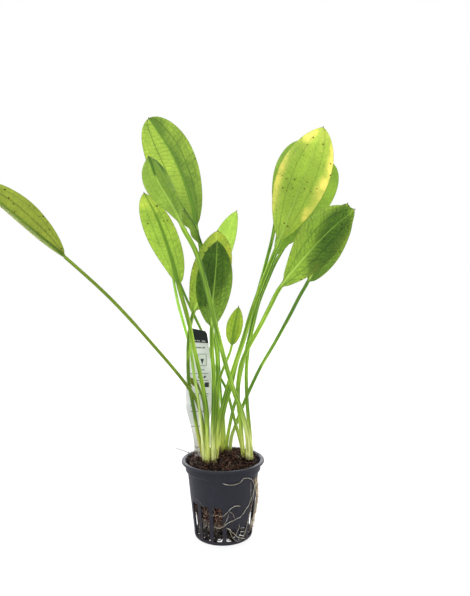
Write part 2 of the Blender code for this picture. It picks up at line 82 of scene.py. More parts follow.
def add_node(tree: bpy.types.NodeTree, kind: str, inputs: dict[Any, Any] | None = None,
             **settings: Any) -> bpy.types.Node:
    """Add one node with its settings, values and incoming links.

    Args:
        tree: the node tree to add to.
        kind: the node's type name.
        inputs: input name or index to a value, or to the output socket that feeds it.
        settings: properties of the node itself.

    Returns:
        The new node.
    """
    made = tree.nodes.new(kind)
    for name, value in settings.items():
        setattr(made, name, value)
    for name, value in (inputs or {}).items():
        if isinstance(value, Socket):
            tree.links.new(value, made.inputs[name])
        else:
            made.inputs[name].default_value = value
    return made


class Painter:
    """A material's node tree, with short calls for the sums that its patterns need.

    A colour is given as sRGB hex digits, as a linear colour or as a socket.
    """

    def __init__(self, name: str) -> None:
        """Start an empty material of this name."""
        self.material = bpy.data.materials.new(name)
        self.material.use_nodes = True
        self.tree = self.material.node_tree
        self.tree.nodes.clear()

    def add(self, kind: str, inputs: dict[Any, Any] | None = None, **settings: Any) -> bpy.types.Node:
        """Add a node to this material's tree."""
        return add_node(self.tree, kind, inputs, **settings)

    def read(self, name: str) -> Socket:
        """Return the number that a mesh attribute holds."""
        return self.add("ShaderNodeAttribute", attribute_name=name).outputs["Fac"]

    def place(self) -> Socket:
        """Return the piece's own coordinates in metres."""
        return self.add("ShaderNodeTexCoord").outputs["Object"]

    def on_axis(self, axis: str) -> Socket:
        """Return the piece's own coordinate on one axis, in metres."""
        return self.add("ShaderNodeSeparateXYZ", {"Vector": self.place()}).outputs[axis]

    def stretch(self, scale: Point) -> Socket:
        """Return coordinates scaled along each axis, for streaks and grain."""
        return self.add("ShaderNodeMapping", {"Vector": self.place(), "Scale": scale}).outputs["Vector"]

    def sum(self, operation: str, *values: Any) -> Socket:
        """Return a Math node's result for values or sockets."""
        return self.add("ShaderNodeMath", dict(enumerate(values)), operation=operation).outputs[0]

    def times(self, first: Any, second: Any) -> Socket:
        """Return the product of two numbers."""
        return self.sum("MULTIPLY", first, second)

    def plus(self, first: Any, second: Any) -> Socket:
        """Return two numbers added up."""
        return self.sum("ADD", first, second)

    def minus(self, first: Any, second: Any) -> Socket:
        """Return the first number less the second."""
        return self.sum("SUBTRACT", first, second)

    def most(self, first: Any, second: Any) -> Socket:
        """Return the larger of two numbers."""
        return self.sum("MAXIMUM", first, second)

    def ramp(self, value: Any, low: float, high: float, start: float = 0.0,
             end: float = 1.0) -> Socket:
        """Map a value from low..high to start..end with soft ends, clamped."""
        inputs = {"Value": value, "From Min": low, "From Max": high, "To Min": start, "To Max": end}
        return self.add("ShaderNodeMapRange", inputs, interpolation_type="SMOOTHSTEP").outputs["Result"]

    def noise(self, size_mm: float, detail: float = 3.0, source: Any = None) -> Socket:
        """Return noise of a real feature size in millimetres."""
        inputs = {"Vector": source or self.place(), "Scale": 1.0 / (size_mm * MM), "Detail": detail}
        return self.add("ShaderNodeTexNoise", inputs).outputs["Fac"]

    def stray(self, size_mm: float, detail: float = 3.0) -> Socket:
        """Return noise of this size that lies about 0."""
        return self.minus(self.noise(size_mm, detail), 0.5)

    def cells(self, size_mm: float, feature: str = "F1") -> bpy.types.Node:
        """Return a node of scattered cells of a real size in millimetres."""
        inputs = {"Vector": self.place(), "Scale": 1.0 / (size_mm * MM)}
        return self.add("ShaderNodeTexVoronoi", inputs, feature=feature)

    def mix(self, share: Any, first: Any, second: Any) -> Socket:
        """Mix two colours by a share."""
        first, second = (linear(tone) if isinstance(tone, str) else tone for tone in (first, second))
        return self.add("ShaderNodeMix", {0: share, 6: first, 7: second}, data_type="RGBA").outputs[2]

    def bump(self, height: Any, depth_mm: float, strength: float) -> Socket:
        """Return a normal raised by a height from 0 to 1 of this depth in millimetres."""
        inputs = {"Height": height, "Distance": depth_mm * MM, "Strength": strength}
        return self.add("ShaderNodeBump", inputs).outputs["Normal"]

    def skin(self, colour: Any, rough: Any, normal: Any, shine: float = 0.5,
             ior: float = 1.5) -> Socket:
        """Return an opaque surface.

        Args:
            colour: its colour.
            rough: its roughness.
            normal: the normal that its relief gives.
            shine: how strong its highlights are.
            ior: its index of refraction.

        Returns:
            The surface's shader.
        """
        inputs = {"Base Color": colour, "Roughness": rough, "Normal": normal, "Specular IOR Level": shine,
                  "IOR": ior}
        return self.add("ShaderNodeBsdfPrincipled", inputs).outputs[0]

    def finish(self, surface: Socket) -> bpy.types.Material:
        """Send a shader to the output and return the material."""
        self.add("ShaderNodeOutputMaterial", {"Surface": surface})
        return self.material


def linked(name: str, data: bpy.types.ID) -> bpy.types.Object:
    """Return a new object with this data, linked to the scene."""
    obj = bpy.data.objects.new(name, data)
    bpy.context.scene.collection.objects.link(obj)
    return obj


def mesh_object(name: str, points: Sequence[Any], faces: Sequence[Sequence[int]],
                material: bpy.types.Material, smooth: bool = True) -> bpy.types.Object:
    """Make an object from points in metres and faces.

    Args:
        name: the object's and the mesh's name.
        points: vertex positions.
        faces: vertex indices of each face.
        material: the finish.
        smooth: whether faces are shaded smooth.

    Returns:
        The linked object, at the origin, with its faces pointing outwards.
    """
    mesh = bpy.data.meshes.new(name)
    mesh.from_pydata([tuple(p) for p in points], [], faces)
    bm = bmesh.new()
    bm.from_mesh(mesh)
    bmesh.ops.recalc_face_normals(bm, faces=bm.faces)
    bm.to_mesh(mesh)
    bm.free()
    if smooth:
        mesh.shade_smooth()
    mesh.materials.append(material)
    return linked(name, mesh)


def bridged(rings: Sequence[Sequence[int]]) -> list[tuple[int, ...]]:
    """Return the faces between rings of vertex indices, where a ring of one index is a pole.

    Args:
        rings: the vertex indices of each ring, all of one count but for the poles.

    Returns:
        Four-sided faces, and three-sided ones round a pole.
    """
    steps = max(len(ring) for ring in rings)
    faces = []
    for low, high in zip(rings, rings[1:]):
        for k in range(steps):
            n = (k + 1) % steps
            corners = (low[k % len(low)], low[n % len(low)], high[n % len(high)], high[k % len(high)])
            faces.append(tuple(dict.fromkeys(corners)))
    return faces


def sleeve(rings: int, size: int) -> list[tuple[int, ...]]:
    """Return the faces of a closed sleeve of so many rings of this size, a cap at each end.

    Args:
        rings: how many rings there are.
        size: how many vertices a ring has.

    Returns:
        Four-sided faces between the rings, then the first and the last cap.
    """
    faces = [(low + k, low + (k + 1) % size, low + size + (k + 1) % size, low + size + k)
             for low in range(0, (rings - 1) * size, size) for k in range(size)]
    return [*faces, tuple(range(size)), tuple(range((rings - 1) * size, rings * size))]


def mark_points(obj: bpy.types.Object, marks: dict[str, Sequence[float]]) -> None:
    """Keep a number for each point under each name, for the material to read."""
    for name, values in marks.items():
        obj.data.attributes.new(name, "FLOAT", "POINT").data.foreach_set("value", values)


def bake_modifiers(obj: bpy.types.Object) -> None:
    """Turn an object's evaluated shape into its plain mesh and drop its modifiers.

    Args:
        obj: the object, whose old mesh is left as it is.
    """
    depsgraph = bpy.context.evaluated_depsgraph_get()
    mesh = bpy.data.meshes.new_from_object(obj.evaluated_get(depsgraph))
    obj.modifiers.clear()
    obj.data = mesh
    mesh.name = obj.name


def soften_edges(obj: bpy.types.Object, width_mm: float, least_turn: float) -> None:
    """Round the edges that turn by more than this angle in degrees, and bake every modifier.

    Args:
        obj: the piece, with any modifiers that come first.
        width_mm: how wide the rounding is.
        least_turn: the smallest angle in degrees that is rounded.
    """
    bevel = obj.modifiers.new("Soft edges", "BEVEL")
    bevel.width, bevel.segments = width_mm * MM, 2
    bevel.limit_method, bevel.angle_limit = "ANGLE", math.radians(least_turn)
    bake_modifiers(obj)
    obj.data.shade_smooth()
    normals = obj.modifiers.new("Face weighted normals", "WEIGHTED_NORMAL")
    normals.keep_sharp = True
    bake_modifiers(obj)


def settle(piece: bpy.types.Object, slot: str, *nodes: str) -> None:
    """Ride a piece on the plant, and let it stand for its nodes.

    Args:
        piece: the finished piece.
        slot: its material slot; not used.
        nodes: the solids that it takes the place of, if any.
    """
    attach(piece, BODY)
    if nodes:
        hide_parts(*nodes)
    LOG.info("%s: %d faces", piece.name, len(piece.data.polygons))


def at_turn(r: float, angle: float, z: float) -> Vector:
    """Return the point at a radius, an angle in radians and a height."""
    return Vector((r * math.cos(angle), r * math.sin(angle), z))


def smooth_path(points: Sequence[Vector], steps: int) -> list[Vector]:
    """Return a smooth cubic curve through the points, with steps to a span.

    Args:
        points: what the curve goes through.
        steps: how many parts each span is cut into.

    Returns:
        The points of the curve, both ends among them.
    """
    pts = [points[0] * 2 - points[1], *points, points[-1] * 2 - points[-2]]
    out = []
    for a, b, c, d in zip(pts, pts[1:], pts[2:], pts[3:]):
        for i in range(steps):
            t = i / steps
            out.append(0.5 * (2 * b + (c - a) * t + (2 * a - 5 * b + 4 * c - d) * t * t
                              + (3 * b - 3 * c + d - a) * t ** 3))
    out.append(points[-1].copy())
    return out


def running(path: Sequence[Vector]) -> list[float]:
    """Return the running length along a path."""
    run = [0.0]
    for a, b in zip(path, path[1:]):
        run.append(run[-1] + (b - a).length)
    return run


class RibTone(Enum):
    """How a leaf's midrib shows beside its blade: a pale midrib is partly a painted highlight on its ridge, a
    dark one partly painted shade where less light comes through it.
    """

    PALE = "pale"
    DARK = "dark"
    FAINT = "faint"


@dataclass(frozen=True)
class LeafFinish:
    """Living leaf tissue: a thin waxy skin over cells that let yellow-green light through.

    The colours are sRGB hex. Shares run from 0 to 1.
    """

    blade: str = "5E7F32"
    deep: str = "42602A"
    through: str = "B0D254"
    rib: RibTone = RibTone.PALE
    veins: float = 0.5
    vein_slope: float = 0.45
    # left_shade, right_shade and base_shade are painted shade: one half and the lower blade darkened where
    # shade and leaves behind fall.
    left_shade: float = 0.0
    right_shade: float = 0.0
    base_shade: float = 0.0
    edge_yellow: float = 0.0
    left_yellow: float = 1.0
    tip_yellow: float = 0.0
    spots: float = 0.0
    # hood: where along the blade the painted crease shade of a hooded tip begins, 0 for none.
    hood: float = 0.0
    stalk: str = "8DB544"
    foot: str = "F2FA8A"
    foot_mm: float = 32.0
    yellow: str = "EDE25A"
    patches: tuple[tuple[float, float, float, float], ...] = ()
    relief: float = 1.0
    rib_share: float = 1.0
    grain: float = 0.4
    side_vein: float = 1.0
    gloss: float = 0.5
    stripes: float = 1.0
    specks: float = 0.0
    spots_from: float = -2.0

    CROSS_GAP_MM = 3.2
    SPOT_GAP_MM = 3.6
    BLADE_SENT = 0.6
    STALK_SENT = 0.45
    RIM = "6E7A2C"
    BROWN = "4A3B18"

    def rib_colours(self) -> tuple[str, str, float]:
        """Return the midrib's colour and the light through it, both partly painted light by the rib's tone,
        and how dark the painted shadow on its flanks is.
        """
        return {RibTone.PALE: ("A2C456", "C2E266", 0.35), RibTone.DARK: ("46701F", "6E9A2C", 0.85),
                RibTone.FAINT: (self.blade, self.through, 0.15)}[self.rib]

    def vein_mask(self, p: Painter, off: Any, half: Any, reach: Any) -> Socket:
        """Return the leaf's net of veins, from 0 on the blade to 1 on a vein.

        Args:
            p: the painter of the leaf's material.
            off: distance from the midrib, as a share of the half-width.
            half: half-width in mm.
            reach: distance along the blade in mm.

        Returns:
            Side veins at fixed shares of the width, oblique cross veins, and a fine net.
        """
        off_mm = p.times(off, half)
        wander = p.times(p.stray(14), 0.08)
        lines = []
        for share, strong in zip(SIDE_VEINS, (1.0, 0.55)):
            gap = p.sum("ABSOLUTE", p.minus(p.plus(off, wander), share))
            lines.append(p.ramp(p.times(gap, half), 0.12, 0.6, strong, 0.0))
        sides = p.times(p.most(*lines), self.side_vein)
        up = p.minus(reach, p.times(off_mm, self.vein_slope))
        turns = p.plus(p.sum("DIVIDE", up, self.CROSS_GAP_MM), p.times(p.noise(11), 2.6))
        saw = p.sum("ABSOLUTE", p.minus(p.sum("FRACT", turns), 0.5))
        cross = p.times(p.ramp(saw, 0.03, 0.2, 1.0, 0.0), p.ramp(p.noise(4.5), 0.32, 0.62, 0.3, 1.0))
        net = p.ramp(p.cells(1.25, "DISTANCE_TO_EDGE").outputs["Distance"], 0.0, 0.2, 0.42, 0.0)
        return p.most(p.most(sides, cross), net)

    def yellowing(self, p: Painter, across: Any, along: Any, right: Any) -> Socket:
        """Return how far the blade has yellowed: ragged edges and tip, and patches at given places.

        A patch is its place along and across the blade, and its reach along and across it.

        Args:
            p: the painter of the leaf's material.
            across: signed share of the half-width.
            along: share of the blade's length.
            right: 1 on the right half and 0 on the left.

        Returns:
            How yellow it is, from 0 to 1.
        """
        off = p.sum("ABSOLUTE", across)
        ragged = p.times(p.stray(6, 5), 0.75)
        patch = p.ramp(p.noise(22, 2), 0.42, 0.62, 0.08, 1.0)
        edge = p.times(p.ramp(p.plus(off, ragged), 0.45, 1.05), self.edge_yellow)
        edge = p.times(edge, p.times(p.ramp(along, 0.08, 0.4), patch))
        edge = p.times(edge, p.ramp(right, 0.0, 1.0, self.left_yellow, 1.0))
        tip = p.times(p.ramp(p.plus(along, ragged), 0.7, 1.05), self.tip_yellow)
        fleck = p.times(p.ramp(p.noise(1.7, 3), 0.6, 0.75), 0.4 * max(self.edge_yellow, self.tip_yellow))
        faded = p.most(p.most(edge, tip), fleck)
        for place, side, long, wide in self.patches:
            away = p.plus(*(p.sum("POWER", p.sum("DIVIDE", p.minus(at, middle), reach), 2.0)
                            for at, middle, reach in ((along, place, long), (across, side, wide))))
            away = p.plus(away, p.times(ragged, 1.3))
            worn = p.ramp(p.noise(7, 4), 0.36, 0.6, 0.5, 1.0)
            faded = p.most(faded, p.times(p.ramp(away, 0.0, 1.9, 0.85, 0.0), worn))
        return faded

    def dots(self, p: Painter, along: Any) -> Socket:
        """Return small brown spots of mixed sizes, at most one to a cell, from a place along the blade.

        Args:
            p: the painter of the leaf's material.
            along: share of the blade's length.

        Returns:
            1 on a spot and 0 beside it.
        """
        cell = p.cells(self.SPOT_GAP_MM)
        chance = p.add("ShaderNodeSeparateColor", {"Color": cell.outputs["Color"]}).outputs
        near = p.plus(cell.outputs["Distance"], p.times(p.stray(0.9), 0.12))
        reach = p.sum("MULTIPLY_ADD", chance[1], 0.13, 0.05)
        there = p.times(p.sum("LESS_THAN", chance[0], self.spots),
                        p.sum("GREATER_THAN", along, self.spots_from))
        return p.times(p.ramp(p.minus(near, reach), -0.02, 0.035, 1.0, 0.0), there)

    def petiole(self, p: Painter, across: Any) -> Socket:
        """Return the petiole's colour: pale ribs and dark grooves along it, and a foot pale with bleaching,
        all partly painted light.

        Args:
            p: the painter of the leaf's material.
            across: signed share of the half-width.

        Returns:
            The colour's socket.
        """
        from_foot = p.read("foot_mm")
        run = p.add("ShaderNodeCombineXYZ", {
            "X": p.times(across, 0.9), "Y": p.times(from_foot, 0.01), "Z": p.times(p.noise(40, 1), 3.0)})
        grain = p.add("ShaderNodeTexNoise", {"Vector": run.outputs[0], "Scale": 1.7, "Detail": 2.0})
        stripe = grain.outputs["Fac"]
        # Painted highlight and shade: the pale and dark streaks are partly ribs and grooves and partly the
        # lit and shaded sides of the stalk.
        stem = p.mix(p.ramp(stripe, 0.48, 0.64, 0.0, self.stripes), self.stalk, "4C741C")
        stem = p.mix(p.ramp(stripe, 0.47, 0.34, 0.0, self.stripes), stem, "BADE4E")
        # Painted light: the pale foot is partly tissue paled by bleaching and partly brightened against the
        # shade at the base.
        bleached_and_lit = p.times(p.ramp(from_foot, 1.0, self.foot_mm, 1.0, 0.0),
                           p.ramp(stripe, 0.44, 0.66, 1.0, 0.25))
        gold = p.times(p.ramp(from_foot, 3.0, self.foot_mm * 1.3, 0.4, 0.0), p.ramp(stripe, 0.44, 0.6))
        soiled = p.times(p.ramp(from_foot, 0.5, 4.5, 0.8, 0.0), p.ramp(p.noise(1.6, 4), 0.45, 0.6))
        for share, tone in ((bleached_and_lit, self.foot), (gold, "C8CC48"), (soiled, "5A4026")):
            stem = p.mix(share, stem, tone)
        return stem

    def folding(self, p: Painter, off: Any, off_mm: Any, along: Any, right: Any) -> tuple[Any, Any]:
        """Return 1 past where the hooded tip begins and 0 before it, and painted shade that stands in for a
        crease down the hood's middle and for the inside of the rolled half.

        Args:
            p: the painter of the leaf's material.
            off: distance from the midrib, as a share of the half-width.
            off_mm: the same distance in mm.
            along: share of the blade's length.
            right: 1 on the right half and 0 on the left.

        Returns:
            The share past the hood's start and the painted shade, each from 0 to 1.
        """
        bent = p.ramp(along, self.hood - 0.02, self.hood + 0.05)
        crease = p.times(bent, p.ramp(off_mm, 0.3, 1.5, 1.0, 0.0))
        inner_right = p.times(right, p.ramp(off, 0.45, 0.8))
        rolled = p.times(inner_right, p.ramp(p.minus(along, p.times(off, 0.16)), 0.48, 0.72))
        return bent, p.times(p.most(crease, rolled), 0.95)

    def material(self, name: str) -> bpy.types.Material:
        """Paint the leaf from its own attributes.

        Args:
            name: the leaf's name.

        Returns:
            Soft gloss over a blade that sends light through, with veins, yellowing, spots and painted shade.
        """
        p = Painter(f"{name} living leaf tissue")
        across, along, half = p.read("across"), p.read("along"), p.read("half_mm")
        reach, rib_mm = p.read("reach_mm"), p.read("rib_mm")
        off = p.sum("ABSOLUTE", across)
        off_mm = p.times(off, half)
        right = p.ramp(across, -0.04, 0.04)
        blade = p.ramp(along, 0.0, 0.05)
        # The flank band beside the midrib carries painted shadow, as if cast by the raised rib.
        rib, flank = (p.ramp(off_mm, p.times(rib_mm, near), p.times(rib_mm, far), 1.0, 0.0)
                      for near, far in ((0.35, 0.8), (0.7, 2.4)))
        veins = self.vein_mask(p, off, half, reach)
        crease_shade: Any = 0.0
        if self.hood:
            bent, crease_shade = self.folding(p, off, off_mm, along, right)
            rib = p.times(rib, p.minus(1.0, bent))
        mottle = p.ramp(p.noise(11, 4), 0.3, 0.7)
        fine = p.ramp(p.noise(1.5, 3), 0.38, 0.62)
        shade = p.plus(p.times(mottle, 0.45), p.times(fine, self.grain))
        own_rib, sent_rib, flank_shadow = self.rib_colours()
        dark = p.most(p.times(veins, self.veins), p.times(flank, flank_shadow))
        # Painted shade: one half darkened by left_shade and right_shade, the lower blade by base_shade, and
        # the hooded tip by its painted crease shade.
        side = p.mix(right, (self.left_shade,) * 3 + (1.0,), (self.right_shade,) * 3 + (1.0,))
        side = p.times(side, p.ramp(p.minus(p.noise(15, 3), p.times(off, 0.5)), 0.0, 0.4, 0.15, 1.0))
        low = p.ramp(p.plus(along, p.times(p.noise(12, 3), 0.3)), 0.15, 0.75, self.base_shade, 0.0)
        side = p.most(p.most(side, low), crease_shade)
        dark = p.plus(dark, p.times(side, p.minus(1.0, dark)))
        own = p.mix(p.times(dark, 0.6), p.mix(shade, self.blade, self.deep), self.deep)
        sent = p.mix(dark, p.mix(p.times(shade, 0.6), self.through, self.blade), self.deep)
        layers = []
        if self.edge_yellow or self.tip_yellow:
            layers.append((self.yellowing(p, across, along, right), self.yellow, self.yellow))
        layers.append((p.times(rib, self.rib_share), own_rib, sent_rib))
        rim = p.ramp(p.times(p.minus(1.0, off), half), 0.12, 0.5, 0.75, 0.0)
        layers.append((rim, self.RIM, self.RIM))
        brown = p.times(p.ramp(p.minus(reach, p.read("tip_mm")), -1.7, -0.5), 0.9)
        if self.spots:
            brown = p.most(brown, self.dots(p, along))
        if self.specks:
            speck = p.times(p.ramp(p.noise(0.9, 2), 0.55, 0.62), p.ramp(off, 0.55, 0.95, 0.0, self.specks))
            brown = p.most(brown, speck)
        layers.append((brown, self.BROWN, self.BROWN))
        for share, own_tone, sent_tone in layers:
            own, sent = p.mix(share, own, own_tone), p.mix(share, sent, sent_tone)
        stem = self.petiole(p, across)
        own, sent = p.mix(blade, stem, own), p.mix(blade, stem, sent)
        relief = p.times(p.minus(p.times(p.noise(1.1, 1), 0.15), veins), blade)
        normal = p.bump(relief, 0.12, 0.5 * self.relief)
        skin = p.skin(own, p.ramp(p.noise(6), 0.3, 0.7, 0.34, 0.5), normal, self.gloss, 1.42)
        each_face = p.add("ShaderNodeGamma", {"Color": sent, "Gamma": 0.5}).outputs[0]
        inner = p.add("ShaderNodeBsdfTranslucent", {"Color": each_face, "Normal": normal}).outputs[0]
        stalk_share = p.ramp(p.read("foot_mm"), 0.0, 40.0, 0.2, self.STALK_SENT)
        share = p.ramp(along, -0.05, 0.1, stalk_share, self.BLADE_SENT)
        return p.finish(p.add("ShaderNodeMixShader", {0: share, 1: skin, 2: inner}).outputs[0])


@dataclass(frozen=True)
class Half:
    """One side of a blade: width in mm, how it opens and closes, how far it turns back and bulges."""

    width: float
    base: float = 0.8
    tip: float = 0.6
    turn: float = 8.0
    bulge: float = 0.05

    def at(self, share: float) -> float:
        """Return the half-width in mm at a share of the blade's length."""
        peak = self.base / (self.base + self.tip)
        return self.width * (share / peak) ** self.base * ((1 - share) / (1 - peak)) ** self.tip


@dataclass
class Leaf:
    """A petiole and its blade, grown as one: points in mm from the crown up, then along the midrib."""

    name: str
    stalk: tuple[Point, ...]
    blade: tuple[Point, ...]
    left: Half
    right: Half
    facing: Point = (0.0, -1.0, 0.1)
    stalk_r: float = 1.1
    sheath_r: float = 1.35
    finish: LeafFinish = field(default_factory=LeafFinish)
    ripple_mm: float = 0.5
    ripples: float = 2.5

    STEPS = 48
    STALK_STEP_MM = 2.4
    BLADE_RINGS = 84
    MIDRIB_TIP_MM = 0.3
    POINT_MM = 0.7
    SHEATH_MM = 14.0
    LAMINA_MM = 0.22
    VEIN_MM = 0.4
    VEIN_SUNK_MM = -0.05
    VEIN_PROUD_MM = 0.09
    HALVES_APART = 1.9
    COLUMNS = (0.0, 0.035, 0.08, 0.14, 0.22, 0.31, 0.385, 0.42, 0.44, 0.46, 0.5, 0.58, 0.67, 0.74, 0.76, 0.78,
               0.85, 0.92, 0.965, 0.99, 1.0)

    def stations(self) -> list[dict[str, Any]]:
        """Return the numbers of each ring from the foot of the petiole to the tip."""
        stalk = [Vector(p) for p in self.stalk]
        path = smooth_path(stalk + [Vector(p) for p in self.blade], self.STEPS)
        run = running(path)
        joint = run[(len(stalk) - 1) * self.STEPS]
        count = math.ceil(joint / self.STALK_STEP_MM)
        marks = [(joint * i / count, None) for i in range(count)]
        for i in range(self.BLADE_RINGS):
            share = 0.5 - 0.5 * math.cos(math.pi * i / (self.BLADE_RINGS - 0.4))
            marks.append((joint + (run[-1] - joint) * share, share))
        distances = np.array([m[0] for m in marks])
        spots = np.array([tuple(p) for p in path])
        centres = np.stack([np.interp(distances, run, spots[:, k]) for k in range(3)], axis=1)
        tangents = np.gradient(centres, distances, axis=0)
        rings = []
        for (distance, share), centre, tangent in zip(marks, centres, tangents):
            if share is None:
                rib = self.stalk_r + (self.sheath_r - self.stalk_r) * math.exp(-distance / self.SHEATH_MM)
                left = right = rib
            else:
                rib = self.stalk_r + (self.MIDRIB_TIP_MM - self.stalk_r) * share ** 0.6
                open_share = min(share * (1.0 + self.POINT_MM / (run[-1] - joint)), 1.0)
                left, right = max(self.left.at(open_share), rib), max(self.right.at(open_share), rib)
            rings.append({"centre": centre, "tangent": tangent / np.linalg.norm(tangent), "rib_mm": rib,
                          "left": left, "right": right, "foot_mm": distance, "reach_mm": distance - joint,
                          "tip_mm": run[-1] - joint,
                          "along": distance / joint - 1.0 if share is None else share})
        return rings

    def section(self, ring: dict[str, Any]) -> tuple[np.ndarray, np.ndarray]:
        """Return one closed section and its points' shares across.

        Args:
            ring: the ring's numbers from stations.

        Returns:
            Points in mm, first over the face from the left edge to the right and then back underneath,
            and the signed share of the half-width of each point.
        """
        tangent = ring["tangent"]
        face = np.array(self.facing, dtype=float)
        face -= tangent * face.dot(tangent)
        face /= np.linalg.norm(face)
        side = np.cross(tangent, face)
        shares = np.array([-s for s in reversed(self.COLUMNS)] + list(self.COLUMNS[1:]))
        order = np.concatenate([shares, shares[-2:0:-1]])
        up = np.concatenate([np.ones(len(shares)), -np.ones(len(shares) - 2)])
        off = np.abs(order)
        sign = np.sign(order)
        rib = ring["rib_mm"]
        wide = np.where(order > 0, ring["right"], ring["left"])
        flat = np.clip((wide / rib - 1.0) / 2.0, 0.0, 1.0)
        turn = np.radians(np.where(order > 0, self.right.turn, self.left.turn)) * flat
        bulge = np.where(order > 0, self.right.bulge, self.left.bulge) * wide * 4 * off * (1 - off)
        share = min(max(ring["along"], 0.0), 1.0)
        fade = math.sin(math.pi * share) ** 0.7
        swing = np.sin(math.tau * self.ripples * share + (order > 0) * self.HALVES_APART) * off ** 2
        depth = bulge + swing * self.ripple_mm * fade
        ridge = np.exp(-(off * wide / (0.95 * rib)) ** 2) * rib * np.where(up > 0, 0.7, 1.0)
        vein = sum(np.exp(-((off - a) * wide / self.VEIN_MM) ** 2) for a in SIDE_VEINS)
        vein = vein * np.where(up > 0, self.VEIN_SUNK_MM, self.VEIN_PROUD_MM) * (off < 0.97)
        lamina = self.LAMINA_MM * (1 - 0.72 * off ** 3) + vein
        thick = up * np.maximum(np.where(off > 0.999, 0.0, lamina), ridge * (off < 0.9))
        lens_x = off * wide * np.cos(turn)
        lens_y = -off * wide * np.sin(turn) + depth
        round_y = up * rib * np.sqrt(np.clip(1 - off ** 2, 0, 1))
        x = sign * (off * rib * (1 - flat) + lens_x * flat + np.sin(turn) * thick * flat)
        y = round_y * (1 - flat) + (lens_y + np.cos(turn) * thick) * flat
        return ring["centre"] + x[:, None] * side + y[:, None] * face, order

    def build(self) -> None:
        """Loft the sections into one closed leaf, with the attributes that its finish reads."""
        rings = self.stations()
        rings[0]["tangent"] = np.array((0.0, 0.0, 1.0))
        points = []
        marks: dict[str, list[float]] = {n: [] for n in ("across", "along", "half_mm", "reach_mm", "rib_mm",
                                                         "foot_mm", "tip_mm")}
        for ring in rings:
            section, order = self.section(ring)
            points.extend(section * MM)
            marks["across"].extend(order)
            marks["half_mm"].extend(np.where(order > 0, ring["right"], ring["left"]))
            for name in ("along", "reach_mm", "rib_mm", "foot_mm", "tip_mm"):
                marks[name].extend([ring[name]] * len(order))
        leaf = mesh_object(f"{self.name}_living", points, sleeve(len(rings), len(points) // len(rings)),
                           self.finish.material(self.name))
        mark_points(leaf, marks)
        settle(leaf, "leaf_green", self.name)


SPOTTED_OLIVE = LeafFinish(blade="66752F", deep="4C5A26", through="A2B440", rib=RibTone.DARK, veins=0.3,
                           left_shade=0.2, tip_yellow=0.1, spots=0.8, relief=0.15, stalk="70882C",
                           yellow="C9B94A", side_vein=2.6, gloss=0.2, stripes=0.3, grain=0.15)
YELLOW_TIPPED = LeafFinish(blade="62832E", deep="44661E", through="D6FC5C", rib=RibTone.DARK, veins=0.55,
                           edge_yellow=0.15, tip_yellow=0.35, spots=1.0, spots_from=0.64, stalk="86AA2C",
                           foot="E4F080", yellow="E2E85C")
SHADED = LeafFinish(blade="4F7030", deep="39581F", through="9AC83E", rib=RibTone.FAINT, veins=0.4,
                    stalk="628C28", foot="C8DC60")
SLENDER_BRIGHT = LeafFinish(blade="62883A", deep="426626", through="A8D448", rib=RibTone.FAINT, veins=0.4,
                            stalk="A8DC50", foot="F4FCB8", foot_mm=90.0)
MID_GREEN = LeafFinish(blade="54762C", deep="34521C", through="AED644", veins=0.65, vein_slope=0.8,
                       spots=0.12, left_shade=0.35, base_shade=0.2, grain=0.7, stalk="749A28",
                       foot="F0F6A4")
RUSTY_EDGED = LeafFinish(blade="5E7C30", deep="44622A", through="B8DA44", veins=0.45, left_yellow=0.3,
                         edge_yellow=0.6, tip_yellow=0.5, spots=0.95, specks=0.75, stalk="5E7E24",
                         foot="C2B856", yellow="C8CC42")
SMALL_YELLOWISH = LeafFinish(blade="6C8C32", deep="456420", through="CCEA44", rib=RibTone.DARK, veins=0.6,
                             edge_yellow=0.25, spots=0.4, right_shade=0.3, stalk="8CAE34",
                             yellow="DCE050")
WITHERED = LeafFinish(blade="768434", deep="56602A", through="A8B640", rib=RibTone.FAINT, veins=0.3,
                      edge_yellow=0.3, tip_yellow=0.5, spots=0.9, stalk="7E9638", yellow="A09A3C",
                      foot="B4B860")
DARK_RIBBED = LeafFinish(blade="5E8030", deep="3E5E24", through="C2DE52", rib=RibTone.DARK, veins=0.62,
                         side_vein=1.35, right_shade=0.75, base_shade=0.7, stalk="6E962A")
YELLOW_EDGED = LeafFinish(blade="88A63E", deep="5C7C2A", through="DCFA5C", veins=0.38, right_shade=0.25,
                          vein_slope=0.8, side_vein=1.6, base_shade=0.3, rib_share=0.5, edge_yellow=0.45,
                          tip_yellow=0.2, spots=0.85,
                          # The patch at 0.48 along on the left edge is partly real yellowing and partly
                          # painted light against the shadow of the leaf behind.
                          patches=((0.9, -0.6, 0.08, 0.36), (0.74, 1.05, 0.17, 0.34), (0.53, 0.92, 0.1, 0.34),
                                   (0.48, -1.15, 0.27, 0.38), (0.3, 0.86, 0.07, 0.26)),
                          stalk="7EA42C", yellow="FBE878")
PALE_RIBBED_UNDERSIDE = LeafFinish(blade="66883A", deep="3C6620", through="D2F25A", veins=0.4, hood=0.7,
                                   right_shade=0.35, stalk="8CB436", foot="F6FAA8", foot_mm=44.0)
FRESH_GREEN = LeafFinish(blade="5A7C30", deep="3E6224", through="A0C43C", veins=0.45, rib_share=0.7,
                         base_shade=0.4, stalk="628A26", foot="DCE870")
BROAD_PALE_RIB = LeafFinish(blade="587A2E", deep="365822", through="C6EC4A", veins=0.7, rib_share=0.8,
                            vein_slope=1.0, edge_yellow=0.2, spots=0.35, stalk="88AE32", yellow="D2DC5C")
YOUNG_ROLLED = LeafFinish(blade="6A8E34", deep="2A5014", through="B8E04C", rib=RibTone.DARK, veins=0.45,
                          hood=0.03, right_shade=0.75, base_shade=0.6, stalk="5C8A2C", foot="C2D078")
FRESH_LIME = LeafFinish(blade="76A03A", deep="5C8430", through="CCEE60", rib=RibTone.FAINT, veins=0.25,
                        stalk="6E982A")
